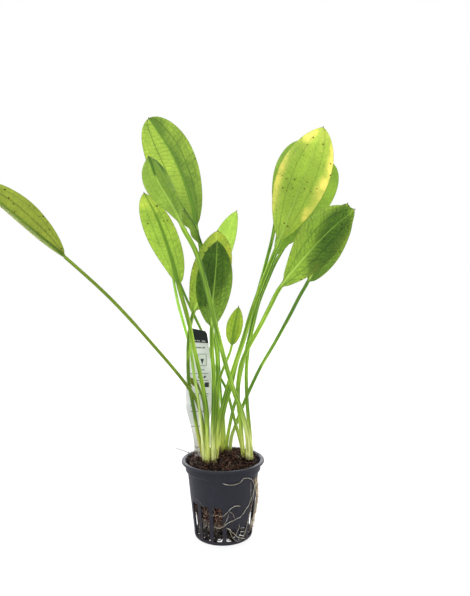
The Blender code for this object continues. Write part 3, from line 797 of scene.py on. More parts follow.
LOW_GREEN = LeafFinish(blade="54762C", deep="34521C", through="88B032", veins=0.6, vein_slope=0.9,
                       spots=0.2, edge_yellow=0.25, base_shade=0.5, stalk="5A8426", foot="CFE08A",
                       yellow="B8B840")

LEAVES: tuple[Leaf, ...] = (
    Leaf("leaf_far_left",
         ((-10.1, -1.4, 50.3), (-15.2, -2, 82), (-23.7, -4.5, 100), (-47.7, -8, 130), (-73.2, -12, 159),
          (-100.7, -15, 185)),
         ((-119.7, -17, 201.5), (-136.2, -19, 216), (-160.2, -20, 235)),
         Half(13.5, 0.65, 0.9, 75), Half(12.9, 0.85, 0.75, 8), finish=SPOTTED_OLIVE),
    Leaf("leaf_left_front",
         ((-9.9, -9.8, 50.3), (-9.8, -9.3, 71.5), (-10.7, -10, 88), (-14.2, -12, 108),
          (-18.2, -14, 126.5), (-21.2, -16, 143), (-27.2, -18, 165.5)),
         ((-32.2, -19, 185.5), (-40.2, -19, 208.5), (-49.7, -17, 227)),
         Half(11.3, 1, 0.6), Half(8.8, 0.65, 0.75), stalk_r=1.35, sheath_r=1.6, finish=YELLOW_TIPPED),
    Leaf("leaf_slender",
         ((-12.3, -6.8, 50.3), (-13.9, -5.8, 70.5), (-16.2, -4.6, 90.5), (-19.2, -1.6, 107),
          (-21.7, 1.4, 123.5), (-26.2, 4, 140), (-30.7, 6, 156), (-34.2, 7.5, 174)),
         ((-37.2, 8.5, 190), (-42.7, 9.5, 210)),
         Half(2.8), Half(2.8), stalk_r=0.95, finish=SLENDER_BRIGHT),
    Leaf("leaf_centre",
         ((-6, -9.5, 50.3), (-6.6, -8.6, 68), (-5.8, -8.2, 87.5), (-5.7, -8.2, 107.5), (-6.7, -9, 124),
          (-6.7, -10, 138.5)),
         ((-5.7, -12, 157), (-3.7, -12, 176.5), (-2.7, -9, 196.5)),
         Half(12.4, 0.8, 0.72), Half(11.6, 0.75, 0.66), stalk_r=1.4, sheath_r=1.8, finish=MID_GREEN),
    Leaf("leaf_centre_back",
         ((-12.7, -3.4, 50.3), (-16.7, -2.6, 67.5), (-19.7, -1.6, 85), (-22.7, -1.6, 103),
          (-23, -3.2, 120.1), (-21.8, -5.6, 135.8), (-18.7, -7.8, 149)),
         ((-11.7, -8.9, 163.8), (-6.2, -8.7, 182.2), (-2.4, -6, 203.8)),
         Half(12.2, 0.7, 0.7), Half(13.2, 0.85, 0.6), stalk_r=1.2, finish=RUSTY_EDGED),
    Leaf("leaf_small_centre",
         ((-6.4, -2.0, 50.3), (-4.8, -2.4, 76.5), (-3.7, 0, 93), (-1.7, 2, 104), (0.8, 4, 111),
          (4.3, 5, 119), (6.3, 6, 125.5)),
         ((7.8, 7, 136.5), (11.3, 8, 153)),
         Half(5.6, 0.7, 0.85), Half(5.8, 0.7, 0.75), stalk_r=0.9, sheath_r=1.2, finish=SMALL_YELLOWISH),
    Leaf("leaf_old_small",
         ((-8.8, -5.6, 50.3), (-10.9, -3.6, 70), (-12.7, -0.6, 86.5), (-15.2, 1.6, 95)),
         ((-19.2, 2.6, 100.5), (-24.7, 3.2, 104.5)),
         Half(1.9), Half(1.9), stalk_r=0.8, sheath_r=1.1, finish=WITHERED),
    Leaf("leaf_tall_left",
         ((-5.2, 1.6, 50.3), (-4.2, 3, 75.5), (-3.7, 5, 95.5), (-4.2, 7.5, 120), (-7.8, 9.5, 138),
          (-11.2, 11, 157), (-14.2, 13, 184), (-17.7, 15, 207)),
         ((-22.7, 15, 230.5), (-34.7, 12, 260), (-50.7, 8, 284.5)),
         Half(20.4, 0.55, 0.5), Half(14.9, 1.0, 0.5), finish=DARK_RIBBED),
    Leaf("leaf_right_front",
         ((-4.2, -5.6, 50.3), (-3.4, -7.6, 65), (-1.5, -9, 79.5), (2.3, -10.3, 95.5), (7.3, -11.5, 111.5),
          (13.3, -12.5, 129.5), (19.3, -13.3, 149), (25.8, -13.5, 166.5), (31.8, -13, 181),
          (37.3, -12, 194)),
         ((45.3, -10, 214), (55.8, -7, 240), (69.3, -2, 274)),
         Half(18.2, 0.95, 0.74), Half(17, 0.9, 0.64), stalk_r=1.35, finish=YELLOW_EDGED),
    Leaf("leaf_folded",
         ((17.9, -2.4, 50.3), (16.8, -4.2, 66), (12.8, -8.5, 83), (8.3, -13, 96), (3.3, -18.5, 113),
          (-2.7, -25.5, 138), (-9.2, -32, 166.5), (-14.7, -36, 186), (-21.7, -40, 199.5)),
         ((-28.7, -42, 214), (-36.7, -42, 228), (-42.7, -39, 244)),
         Half(11.5, 1.3, 0.5, 38), Half(9.5, 1.15, 0.62, 38), stalk_r=1.5, sheath_r=2.8,
         finish=PALE_RIBBED_UNDERSIDE),
    Leaf("leaf_back_left",
         ((14.4, 4.6, 50.3), (11.8, 6, 60), (8.8, 7.6, 71), (6.3, 8.8, 80.5), (2.3, 10.4, 95),
          (-5.2, 12.6, 109), (-13.7, 16.5, 132), (-22.7, 21, 150.5), (-30.2, 25, 167), (-35.2, 27, 180)),
         ((-39.2, 28.5, 193), (-45.2, 30, 212)),
         Half(2.8), Half(2.8), stalk_r=0.95, finish=SHADED),
    Leaf("leaf_right_far",
         ((19, 2.8, 50.3), (18.3, 4, 66.5), (16.8, 6, 84.5), (16.3, 9, 105), (17.8, 12, 122),
          (20.8, 15, 135.5), (25.3, 18, 153.5), (31.3, 21, 168.5), (37.8, 24, 183), (44.8, 27, 195)),
         ((56.8, 31, 214.5), (70.3, 36, 238), (81.3, 41, 263.5)),
         Half(12, 0.9, 0.6), Half(14.2, 0.9, 0.42), stalk_r=1.2, sheath_r=1.6, finish=FRESH_GREEN),
    Leaf("leaf_right_broad",
         ((14, 0.2, 50.3), (12.8, -1.6, 63), (11.8, -3, 76.5), (10.3, -4, 93.5), (11.8, -6, 110.5),
          (15.8, -8, 122.5), (24.6, -12, 139), (31.6, -15, 153), (37.3, -17, 164)),
         ((47.3, -20, 177), (65.8, -24, 197.5), (84.3, -27, 213.5)),
         Half(15.2, 1.35, 0.68), Half(13.2, 0.9, 0.8), stalk_r=1.4, sheath_r=1.5, finish=BROAD_PALE_RIB),
    Leaf("leaf_young",
         ((1, 18.6, 50.3), (0, 17.6, 73), (-1.8, 16.4, 90.5), (-3, 15.2, 115), (-3.8, 13.6, 135),
          (-5.8, 12, 155), (-8.8, 10, 175), (-13.9, 8, 195.5)),
         ((-18, 1, 207.5), (-24.7, -10, 218)),
         Half(6, 0.7, 0.8, 40), Half(8, 0.7, 0.8, 40), facing=(0.6, -0.5, 0.6), stalk_r=0.95,
         finish=YOUNG_ROLLED),
    Leaf("leaf_lime",
         ((-2.6, 16, 50.3), (-3.4, 19.4, 71), (-4, 23, 92), (-4.7, 28, 120.5), (-6.7, 34, 150),
          (-6.7, 37, 168.5)),
         ((-3.2, 40, 187.5), (3.8, 41, 208), (10.8, 41, 225.5)),
         Half(10, 0.7, 0.75), Half(7.6, 0.7, 0.75), finish=FRESH_LIME),
    Leaf("leaf_right_back",
         ((-0.6, 12.4, 50.3), (-0.7, 11.2, 69.5), (1.3, 8.3, 82.5), (5.8, 5.6, 98), (9.8, 4.5, 114.5),
          (14.8, 3.5, 129.5), (19.8, 3, 146.5), (25.3, 3, 165), (30.3, 3, 183), (34.3, 3, 198),
          (37.3, 4, 213)),
         ((42.3, 5, 232.5), (47.3, 6, 250), (55.3, 8, 268)),
         Half(9.4, 0.85, 0.55), Half(9, 0.7, 0.6), stalk_r=1.2, finish=FRESH_GREEN),
    Leaf("leaf_right_pale",
         ((1.4, 15.2, 50.3), (3.8, 14.4, 65), (6.8, 13, 79.5), (9.8, 11, 90.5), (12.3, 9.5, 105),
          (16.3, 8, 122.5), (20.3, 7.5, 139.5), (24.8, 8, 157), (31.3, 10, 172.5), (37.3, 12, 188)),
         ((43.8, 15, 202), (52.3, 18, 219.5), (62.3, 22, 240)),
         Half(7, 0.7, 0.6), Half(8, 0.7, 0.6), finish=SHADED),
    Leaf("leaf_right_low",
         ((4.4, 13.2, 50.3), (5.8, 13.2, 61), (8.8, 12.6, 69.5), (13.3, 11.6, 81.5), (18, 10.4, 93),
          (26.4, 7, 111), (36.1, 1.4, 128.5), (44.7, -5.8, 145.6), (50.7, -11.7, 158.5),
          (55.9, -15.5, 168.3)),
         ((62.4, -18.8, 182), (70.8, -21.6, 199.9), (80.3, -24.2, 217.8)),
         Half(7.9, 0.75, 0.6), Half(11.8, 0.65, 0.55), stalk_r=1.15, finish=LOW_GREEN),
)


@dataclass(frozen=True)
class PotPlastic:
    """Injection-moulded charcoal polypropylene: semi-matte, with a fine spark texture and dried dirt."""

    plastic: str = "2B2B33"
    worn: str = "35363F"
    dirt: str = "4A3C30"
    texture_mm: float = 0.35

    def material(self) -> bpy.types.Material:
        """Paint the pot: faint flow marks down the wall, scuffs, and dirt washed out of the slots."""
        p = Painter("Moulded charcoal polypropylene, semi-matte")
        flow = p.ramp(p.noise(2.2, 3, p.stretch((1.0, 1.0, 0.12))), 0.4, 0.75)
        scuff = p.ramp(p.noise(6, 5), 0.52, 0.72)
        colour = p.mix(p.times(flow, 0.22), self.plastic, self.worn)
        colour = p.mix(p.times(scuff, 0.25), colour, self.worn)
        low = p.ramp(p.on_axis("Z"), 4 * MM, 30 * MM, 1.0, 0.0)
        grime = p.times(p.ramp(p.noise(3.2, 5), 0.5, 0.68), p.times(low, 0.4))
        colour = p.mix(grime, colour, self.dirt)
        rough = p.plus(p.ramp(p.noise(1.5, 4), 0.3, 0.7, 0.42, 0.55), p.times(grime, 0.5))
        normal = p.bump(p.noise(self.texture_mm, 2), 0.02, 0.6)
        return p.finish(p.skin(colour, rough, normal, 0.1, 1.49))


@dataclass
class NetPot:
    """The slotted pot: a turned wall with a rim and collar, cut by upright and floor slots."""

    rim_r: float = 27.8
    height: float = 50.0
    rim_drop: float = 1.6
    collar_r: float = 25.3
    collar_low: float = 42.5
    wall_top_r: float = 23.8
    foot_r: float = 19.3
    foot_round: float = 1.2
    wall: float = 1.1
    floor: float = 1.3
    steps: int = 120
    slots: int = 15
    first_slot: float = 15.5
    slot_w: float = 6.0
    slot_low: float = 2.2
    slot_tall: float = 25.0
    slot_short: float = 10.6
    short_slots: tuple[int, ...] = (0, 1, 7, 8)
    floor_slot: Point = (9.5, 17.2, 3.4)
    finish: PotPlastic = field(default_factory=PotPlastic)

    def wall_radius(self, z: float) -> float:
        """Return the outer radius of the tapered wall at a height in mm."""
        return self.foot_r + (self.wall_top_r - self.foot_r) * min(max(z / self.collar_low, 0.0), 1.0)

    def outside_radius(self, z: float) -> float:
        """Return the outer radius at a height in mm, with the collar."""
        step = min(max((z - self.collar_low) / self.wall + 1.0, 0.0), 1.0)
        return self.wall_radius(z) + (self.collar_r - self.wall_top_r) * step

    def profile(self) -> list[tuple[float, float]]:
        """Return the section from the floor's middle, up the inside, over the rim and down the outside."""
        t, inside = self.wall, self.collar_r - self.wall
        return [
            (0.0, self.floor), (self.foot_r - t - 0.6, self.floor), (self.foot_r - t, self.floor + 0.6),
            (self.wall_top_r - t, self.collar_low + t), (inside, self.collar_low + 2 * t),
            (inside, self.height - 3.6), (inside + 0.5, self.height - 2.0), (inside + 0.9, self.height - 0.8),
            (inside + 1.15, self.height - 0.25), (inside + 1.5, self.height),
            (self.rim_r - 0.7, self.height), (self.rim_r - 0.2, self.height - 0.18),
            (self.rim_r, self.height - 0.6), (self.rim_r, self.height - self.rim_drop + 0.35),
            (self.rim_r - 0.3, self.height - self.rim_drop),
            (self.collar_r + 0.45, self.height - self.rim_drop - 0.1),
            (self.collar_r, self.height - self.rim_drop - 0.6),
            (self.collar_r - 0.05, self.collar_low + t + 0.2),
            (self.collar_r - 0.35, self.collar_low + t - 0.35),
            (self.wall_top_r + 0.1, self.collar_low + 0.1), (self.wall_top_r - 0.02, self.collar_low - 0.4),
            (self.wall_radius(self.foot_round), self.foot_round),
            (self.foot_r - 0.16, 0.42), (self.foot_r - 0.5, 0.12), (self.foot_r - self.foot_round, 0.0),
            (0.0, 0.0)]

    def cutter(self) -> bpy.types.Object:
        """Return one object of all the slot cutters, with rounded corners on the wall slots."""
        bm = bmesh.new()

        def box(turn: float, low: Point, high: Point, corner: float) -> None:
            """Add a box at an azimuth, its upright corners in the wall's plane rounded."""
            middle = [(a + b) / 2 * MM for a, b in zip(low, high)]
            size = [(b - a) * MM for a, b in zip(low, high)]
            made = bmesh.ops.create_cube(bm, size=1.0)["verts"]
            bmesh.ops.scale(bm, vec=size, verts=made)
            bmesh.ops.translate(bm, vec=middle, verts=made)
            edges = {e for v in made for e in v.link_edges
                     if abs((e.verts[0].co - e.verts[1].co).x) > size[0] / 2}
            bevelled = bmesh.ops.bevel(bm, geom=list(edges), offset=corner * MM, segments=3, affect="EDGES",
                                       profile=0.5)["verts"]
            verts = list({v for v in made if v.is_valid} | set(bevelled))
            bmesh.ops.rotate(bm, matrix=Matrix.Rotation(turn, 3, "Z"), verts=verts, cent=(0, 0, 0))

        for k in range(self.slots):
            turn = math.radians(self.first_slot + 360.0 / self.slots * k - 90.0)
            high = self.slot_short if k in self.short_slots else self.slot_tall
            box(turn, (self.foot_r - 3 * self.wall, -self.slot_w / 2, self.slot_low),
                (self.rim_r, self.slot_w / 2, high), 0.7)
            low_r, high_r, wide = self.floor_slot
            box(turn, (low_r, -wide / 2, -self.floor), (high_r, wide / 2, self.floor + 0.3), 0.3)
        mesh = bpy.data.meshes.new("slot_cutter")
        bm.to_mesh(mesh)
        bm.free()
        return linked("slot_cutter", mesh)

    def build(self) -> None:
        """Turn the wall, cut the slots and round every edge a little."""
        points, rings = [], []
        for r, z in self.profile():
            count = self.steps if r else 1
            rings.append(range(len(points), len(points) + count))
            for k in range(count):
                angle = math.tau * k / self.steps
                points.append((r * MM * math.cos(angle), r * MM * math.sin(angle), z * MM))
        pot = mesh_object("net_pot_moulded", points, bridged(rings), self.finish.material())
        cutter = self.cutter()
        cut = pot.modifiers.new("Slots", "BOOLEAN")
        cut.operation, cut.solver, cut.object = "DIFFERENCE", "EXACT", cutter
        soften_edges(pot, 0.18, 50)
        bpy.data.objects.remove(cutter)
        settle(pot, "pot_plastic", "net_pot")


@dataclass(frozen=True)
class CoirFinish:
    """Damp coir and peat: near-black crumbs with red-brown and tan fibre in them, quite matte."""

    # The near-black dark and brown are partly the damp peat's own colour and partly painted shade for the
    # gaps between fibres.
    dark: str = "050404"
    brown: str = "0E0908"
    rust: str = "241611"
    tan: str = "6E5644"
    side: str = "48342C"

    def material(self, name: str, tan_share: float) -> bpy.types.Material:
        """Paint crumbs or fibres of the medium.

        Args:
            name: what the material is on.
            tan_share: how much of it is dry and tan.

        Returns:
            A rough dark finish that varies from crumb to crumb.
        """
        p = Painter(name)
        colour = p.mix(p.ramp(p.noise(1.2, 5), 0.4, 0.6), self.dark, self.brown)
        colour = p.mix(p.ramp(p.noise(1.9, 4), 0.52, 0.64), colour, self.rust)
        colour = p.mix(p.times(p.ramp(p.noise(1.5, 3), 0.52, 0.64), tan_share), colour, self.tan)
        low = p.ramp(p.on_axis("Z"), 30 * MM, 42 * MM, 0.8, 0.0)
        colour = p.mix(p.times(low, p.ramp(p.noise(1.6, 3), 0.42, 0.58)), colour, self.side)
        wet = p.ramp(p.noise(5, 2), 0.35, 0.65, 0.55, 0.95)
        return p.finish(p.skin(colour, wet, p.bump(p.noise(0.35, 4), 0.18, 0.8), 0.04))


@dataclass(frozen=True)
class RootFinish:
    """Root skin: from pale to buff, with a fine fibrous relief, dirty in places, and darker towards one side
    where asked, which on the root tuft is painted shade.
    """

    pale: str = "D2D0BE"
    buff: str = "B2A88C"
    dirt: str = "4A3C30"
    dirt_share: float = 0.45
    dark_left: bool = False
    dark_right: bool = False

    def material(self, name: str) -> bpy.types.Material:
        """Paint a root with its stains, a darker side and a fine relief."""
        p = Painter(name)
        colour = p.mix(p.ramp(p.noise(4, 3), 0.4, 0.62), self.pale, self.buff)
        stains_and_dark_side = p.times(p.ramp(p.noise(2.6, 4), 0.48, 0.66), self.dirt_share)
        # Darker towards one side: on the root tuft this is painted shade inside the pot.
        for dark, left, right in ((self.dark_left, 0.8, 0.0), (self.dark_right, 0.0, 0.92)):
            if dark:
                stains_and_dark_side = p.most(stains_and_dark_side, p.ramp(p.on_axis("X"), -7 * MM, -2 * MM, left, right))
        colour = p.mix(stains_and_dark_side, colour, self.dirt)
        normal = p.bump(p.noise(0.3, 3), 0.06, 0.6)
        return p.finish(p.skin(colour, p.ramp(p.noise(3), 0.3, 0.7, 0.5, 0.75), normal, 0.4))


class Sprinkler:
    """A Geometry Nodes tree that strews small pieces over a base surface."""

    KINDS = {int: "NodeSocketInt", float: "NodeSocketFloat", tuple: "NodeSocketVector"}
    ANY_TURN = (6.28, 6.28, 6.28)

    def __init__(self, name: str) -> None:
        """Start a tree that takes and gives geometry."""
        self.tree = bpy.data.node_groups.new(name, "GeometryNodeTree")
        self.tree.interface.new_socket("Geometry", in_out="INPUT", socket_type="NodeSocketGeometry")
        self.tree.interface.new_socket("Geometry", in_out="OUTPUT", socket_type="NodeSocketGeometry")
        self.start: bpy.types.Node | None = None
        self.wanted: list[tuple[str, Any]] = []

    def ask(self, **values: Any) -> None:
        """Name inputs of the tree and the values that its modifier gives them."""
        for name, value in values.items():
            kind = self.KINDS.get(type(value), "NodeSocketMaterial")
            socket = self.tree.interface.new_socket(name, in_out="INPUT", socket_type=kind)
            self.wanted.append((socket.identifier, value))

    def add(self, kind: str, inputs: dict[Any, Any] | None = None, **settings: Any) -> bpy.types.Node:
        """Add a node to the tree."""
        return add_node(self.tree, kind, inputs, **settings)

    def given(self, name: str) -> Socket:
        """Return the named input as a socket to link from."""
        if self.start is None:
            self.start = self.add("NodeGroupInput")
        return self.start.outputs[name]

    def spots(self) -> bpy.types.Node:
        """Return a node that strews points over the base surface."""
        return self.add("GeometryNodeDistributePointsOnFaces", {
            "Mesh": self.given("Geometry"), "Density": self.given("Density"), "Seed": self.given("Seed")})

    def random(self, low: Any, high: Any, kind: str = "FLOAT_VECTOR") -> Socket:
        """Return a random number or vector from low to high for each point."""
        inputs = {"Min": low, "Max": high, "Seed": self.given("Seed")}
        made = self.add("FunctionNodeRandomValue", inputs, data_type=kind)
        return made.outputs[1 if kind == "FLOAT" else 0]

    def copies(self, spots: bpy.types.Node, piece: Any, turn: Any, size: Any) -> Socket:
        """Set a turned and scaled copy of a piece on each point, as real geometry."""
        made = self.add("GeometryNodeInstanceOnPoints", {
            "Points": spots.outputs["Points"], "Instance": piece, "Rotation": turn, "Scale": size})
        return self.add("GeometryNodeRealizeInstances", {"Geometry": made.outputs[0]}).outputs[0]

    def crumbs(self) -> Socket:
        """Strew small angular crumbs over the surface and roughen them."""
        ball = self.add("GeometryNodeMeshIcoSphere", {"Radius": self.given("Size"), "Subdivisions": 1})
        turn = self.random((0.0, 0.0, 0.0), self.ANY_TURN)
        size = self.random((0.35, 0.3, 0.25), (1.5, 1.1, 0.8))
        return self.shaken(self.copies(self.spots(), ball.outputs["Mesh"], turn, size), 0.9 * MM, 0.7 * MM)

    def fibres(self) -> Socket:
        """Lay thin curling fibres on the surface."""
        spots = self.spots()
        line = self.add("GeometryNodeCurvePrimitiveLine", {"Length": self.given("Size")}, mode="DIRECTION")
        fine = self.add("GeometryNodeResampleCurve", {"Curve": line.outputs[0], "Count": 9})
        spread = self.given("Spread")
        low = self.add("ShaderNodeVectorMath", {0: spread, 1: (-1.0, -1.0, -1.0)}, operation="MULTIPLY")
        turn = {"Rotation": spots.outputs["Rotation"], "Rotate By": self.random(low.outputs[0], spread)}
        tilt = self.add("FunctionNodeRotateEuler", turn, space="LOCAL")
        laid = self.copies(spots, fine.outputs[0], tilt.outputs[0], self.random(0.35, 1.0, "FLOAT"))
        curled = self.shaken(laid, 4.0 * MM, self.given("Curl"))
        around = {"Resolution": 4, "Radius": self.given("Thickness")}
        ring = self.add("GeometryNodeCurvePrimitiveCircle", around)
        return self.add("GeometryNodeCurveToMesh", {"Curve": curled, "Profile Curve": ring.outputs[0],
                                                    "Fill Caps": True}).outputs[0]

    def shaken(self, geometry: Socket, size: float, reach: Any) -> Socket:
        """Move every point by smooth noise.

        Args:
            geometry: what to move.
            size: the noise's feature size in metres.
            reach: the furthest move in metres, or the socket that gives it.

        Returns:
            The moved geometry.
        """
        cloud = self.add("ShaderNodeTexNoise", {"Scale": 1.0 / size, "Detail": 1.0})
        centred = self.add("ShaderNodeVectorMath", {0: cloud.outputs["Color"], 1: (0.5, 0.5, 0.5)},
                           operation="SUBTRACT")
        move = self.add("ShaderNodeVectorMath", {0: centred.outputs[0], "Scale": reach}, operation="SCALE")
        twice = self.add("ShaderNodeVectorMath", {0: move.outputs[0], "Scale": 2.0}, operation="SCALE")
        inputs = {"Geometry": geometry, "Offset": twice.outputs[0]}
        return self.add("GeometryNodeSetPosition", inputs).outputs[0]

    def strew(self, name: str, base: bpy.types.Object, pieces: Callable[[], Socket],
              finish: bpy.types.Material) -> bpy.types.Object:
        """Run the tree on a copy of the base and keep its result as a plain mesh.

        Args:
            name: the new piece's name.
            base: the surface to strew on.
            pieces: the method that makes the small pieces.
            finish: their material.

        Returns:
            One object of all the small pieces, at the origin.
        """
        self.ask(Material=finish)
        end = self.add("GeometryNodeSetMaterial", {"Geometry": pieces(), "Material": self.given("Material")})
        self.add("NodeGroupOutput", {"Geometry": end.outputs[0]})
        strewn = linked(name, base.data.copy())
        modifier = strewn.modifiers.new("Strewn", "NODES")
        modifier.node_group = self.tree
        for identifier, value in self.wanted:
            modifier[identifier] = value
        bake_modifiers(strewn)
        return strewn


@dataclass
class GrowingMedium:
    """The coir plug: a lumpy body that fills the pot's upper part, with crumbs and fibres on it."""

    pot: NetPot
    low: float = 15.0
    high: float = 48.5
    mound: float = 0.9
    gap: float = 0.5
    around: int = 144
    top_rows: int = 26
    side_rows: int = 34
    under_rows: int = 14
    lumps: tuple[tuple[float, float], ...] = ((0.75, 5.0), (0.55, 2.1), (0.3, 0.9))
    heaps: tuple[Point, ...] = ((-8.5, -5.6, 7.0), (16.4, 1.6, 6.0), (1.2, 15.0, 6.4))
    heap_high: float = 1.8
    clear: float = 0.15
    spread: Point = (1.5, 1.5, 3.1)
    finish: CoirFinish = field(default_factory=CoirFinish)

    def bore(self, z: float) -> float:
        """Return the plug's radius at a height in mm, wider inside the collar."""
        return self.pot.outside_radius(z - 2 * self.pot.wall) - self.pot.wall - self.gap

    def plug(self) -> bpy.types.Object:
        """Return the plug's own lumpy closed mesh."""
        top = self.high - 1.5
        rows = [(share * self.bore(top), self.high) for share in np.linspace(0.0, 0.97, self.top_rows)]
        rows += [(self.bore(z), z) for z in np.linspace(top, self.low + 1.0, self.side_rows)]
        rows += [(share * self.bore(self.low), self.low) for share in np.linspace(0.95, 0.0, self.under_rows)]
        points, rings = [], []
        for index, (r, z) in enumerate(rows):
            count = 1 if r < 0.01 else self.around
            rings.append(range(len(points), len(points) + count))
            for k in range(count):
                at = at_turn(r, math.tau * k / self.around, z)
                rough = sum(strong * noise.noise(at / size_mm) for strong, size_mm in self.lumps)
                share = at.xy.length / self.bore(top)
                if index < self.top_rows:
                    heap = max(math.exp(-((at.xy - Vector((x, y))).length / wide) ** 4)
                               for x, y, wide in self.heaps)
                    at.z += self.mound * (1 - share ** 2) + 1.2 * rough + self.heap_high * heap
                elif index < self.top_rows + self.side_rows:
                    at.xy *= 1.0 - (0.45 + 0.6 * rough) / max(r, 1.0) * 0.9
                else:
                    at.z += 1.6 * rough
                points.append(at * MM)
        finish = self.finish.material("Damp coir and peat plug", 0.12)
        return mesh_object("coir_plug", points, bridged(rings), finish)

    def tuck(self, piece: bpy.types.Object) -> bpy.types.Object:
        """Push what reaches into the pot's wall back inside it, and return the piece.

        Args:
            piece: crumbs or fibres that lie on the plug.

        Returns:
            The same piece.
        """
        pot = self.pot
        flat = np.empty(len(piece.data.vertices) * 3)
        piece.data.vertices.foreach_get("co", flat)
        spots = flat.reshape(-1, 3)
        reach = np.hypot(spots[:, 0], spots[:, 1])
        step = np.clip((spots[:, 2] / MM - pot.collar_low) / pot.wall - 1.0, 0.0, 1.0)
        taper = (pot.wall_top_r - pot.foot_r) * np.clip(spots[:, 2] / MM / pot.collar_low, 0.0, 1.0)
        bore = pot.foot_r + taper + (pot.collar_r - pot.wall_top_r) * step - pot.wall - self.clear
        share = np.minimum(1.0, bore * MM / np.maximum(reach, 1e-6))
        spots[:, :2] *= share[:, None]
        piece.data.vertices.foreach_set("co", spots.ravel())
        return piece

    def build(self) -> None:
        """Make the plug and what lies on it."""
        plug = self.plug()
        settle(plug, "coir", "growing_medium")
        crumbs = Sprinkler("Coir crumbs")
        crumbs.ask(Density=70000.0, Size=0.42 * MM, Seed=4)
        finish = self.finish.material("Coir crumbs, damp", 0.1)
        strewn = crumbs.strew("coir_crumbs", plug, crumbs.crumbs, finish)
        settle(self.tuck(strewn), "coir")
        for name, density, length, curl, thick, tan_share, side, seed in (
                ("coir_strands", 230000.0, 9.0, 2.4, 0.11, 0.25, "9A6C58", 3),
                ("coir_fibres", 90000.0, 10.0, 2.0, 0.1, 0.85, "BCAA9A", 9)):
            finish = CoirFinish(dark="0C0707", brown="2E1C19", rust="7C5446", tan="B09880", side=side)
            fibres = Sprinkler(name)
            fibres.ask(Density=density, Size=length * MM, Seed=seed, Spread=self.spread, Curl=curl * MM,
                       Thickness=thick * MM)
            strewn = fibres.strew(name, plug, fibres.fibres, finish.material(f"{name} of coir", tan_share))
            settle(self.tuck(strewn), "coir")


def tube(path: Sequence[Vector], radii: Sequence[float], sides: int) -> Shell:
    """Return the points and faces of a closed tube along a path.

    Args:
        path: centres in mm.
        radii: radius in mm at each centre.
        sides: how many sides the tube has.

    Returns:
        Points in metres and faces, with both ends closed.
    """
    points = []
    side = Vector((0.0, 0.0, 1.0)).cross(path[1] - path[0])
    side = side.normalized() if side.length > 1e-6 else Vector((1.0, 0.0, 0.0))
    for i, (centre, radius) in enumerate(zip(path, radii)):
        along = (path[min(i + 1, len(path) - 1)] - path[max(i - 1, 0)]).normalized()
        side = (side - along * side.dot(along)).normalized()
        other = along.cross(side)
        for k in range(sides):
            angle = math.tau * k / sides
            points.append((centre + (side * math.cos(angle) + other * math.sin(angle)) * radius) * MM)
    return points, sleeve(len(path), sides)


def grow_roots(name: str, tubes: Sequence[Shell], finish: bpy.types.Material, *nodes: str) -> None:
    """Make one piece of several root tubes, in the place of its nodes.

    Args:
        name: the piece's name.
        tubes: the points and faces of each tube.
        finish: the piece's material.
        nodes: the solids that it takes the place of, if any.
    """
    points: list[Vector] = []
    faces: list[tuple[int, ...]] = []
    for part, corners in tubes:
        shift = len(points)
        points.extend(part)
        faces.extend([tuple(i + shift for i in f) for f in corners])
    settle(mesh_object(name, points, faces, finish), "root_skin", *nodes)


@dataclass
class Crown:
    """A short rootstock that a group of petioles springs from."""

    name: str
    centre: tuple[float, float]
    radius: float
    high: float = 50.0
    steps: int = 64

    ROWS = ((0.0, 0.0), (0.4, -0.1), (0.75, -0.5), (0.92, -1.2), (0.99, -2.4), (1.0, -4.5), (0.86, -6.5),
            (0.68, -9.0), (0.5, -11.3), (0.3, -12.0), (0.0, -12.0))

    def material(self) -> bpy.types.Material:
        """Paint pale flesh that goes brown where the medium stains it."""
        p = Painter(f"{self.name} pale crown flesh")
        colour = p.mix(p.ramp(p.noise(2.0, 4), 0.35, 0.65), "C9CF8E", "9DAA5C")
        soil = p.plus(p.ramp(p.on_axis("Z"), 45 * MM, 49.5 * MM, 1.0, 0.35), p.stray(1.5, 4))
        colour = p.mix(p.ramp(soil, 0.3, 0.62), colour, "3A2A22")
        rough = p.ramp(p.noise(3), 0.3, 0.7, 0.45, 0.8)
        return p.finish(p.skin(colour, rough, p.bump(p.noise(0.5, 4), 0.15, 0.7)))

    def build(self) -> None:
        """Make the lumpy, ribbed rootstock."""
        points, rings = [], []
        for share, drop in self.ROWS:
            count = self.steps if share else 1
            rings.append(range(len(points), len(points) + count))
            for k in range(count):
                angle = math.tau * k / self.steps
                at = at_turn(1.0, angle, drop / 2)
                rough = 1.0 - 0.05 * (1 + math.sin(7 * angle)) - 0.06 * (1 + noise.noise(at * 2.2))
                r = share * self.radius * rough
                z = self.high + drop - 0.4 * (1 + noise.noise(at * 3.0)) * (drop > -6)
                points.append(Vector((self.centre[0] + r * math.cos(angle),
                                      self.centre[1] + r * math.sin(angle), z)) * MM)
        crown = mesh_object(f"{self.name}_flesh", points, bridged(rings), self.material())
        settle(crown, "crown_flesh", self.name)


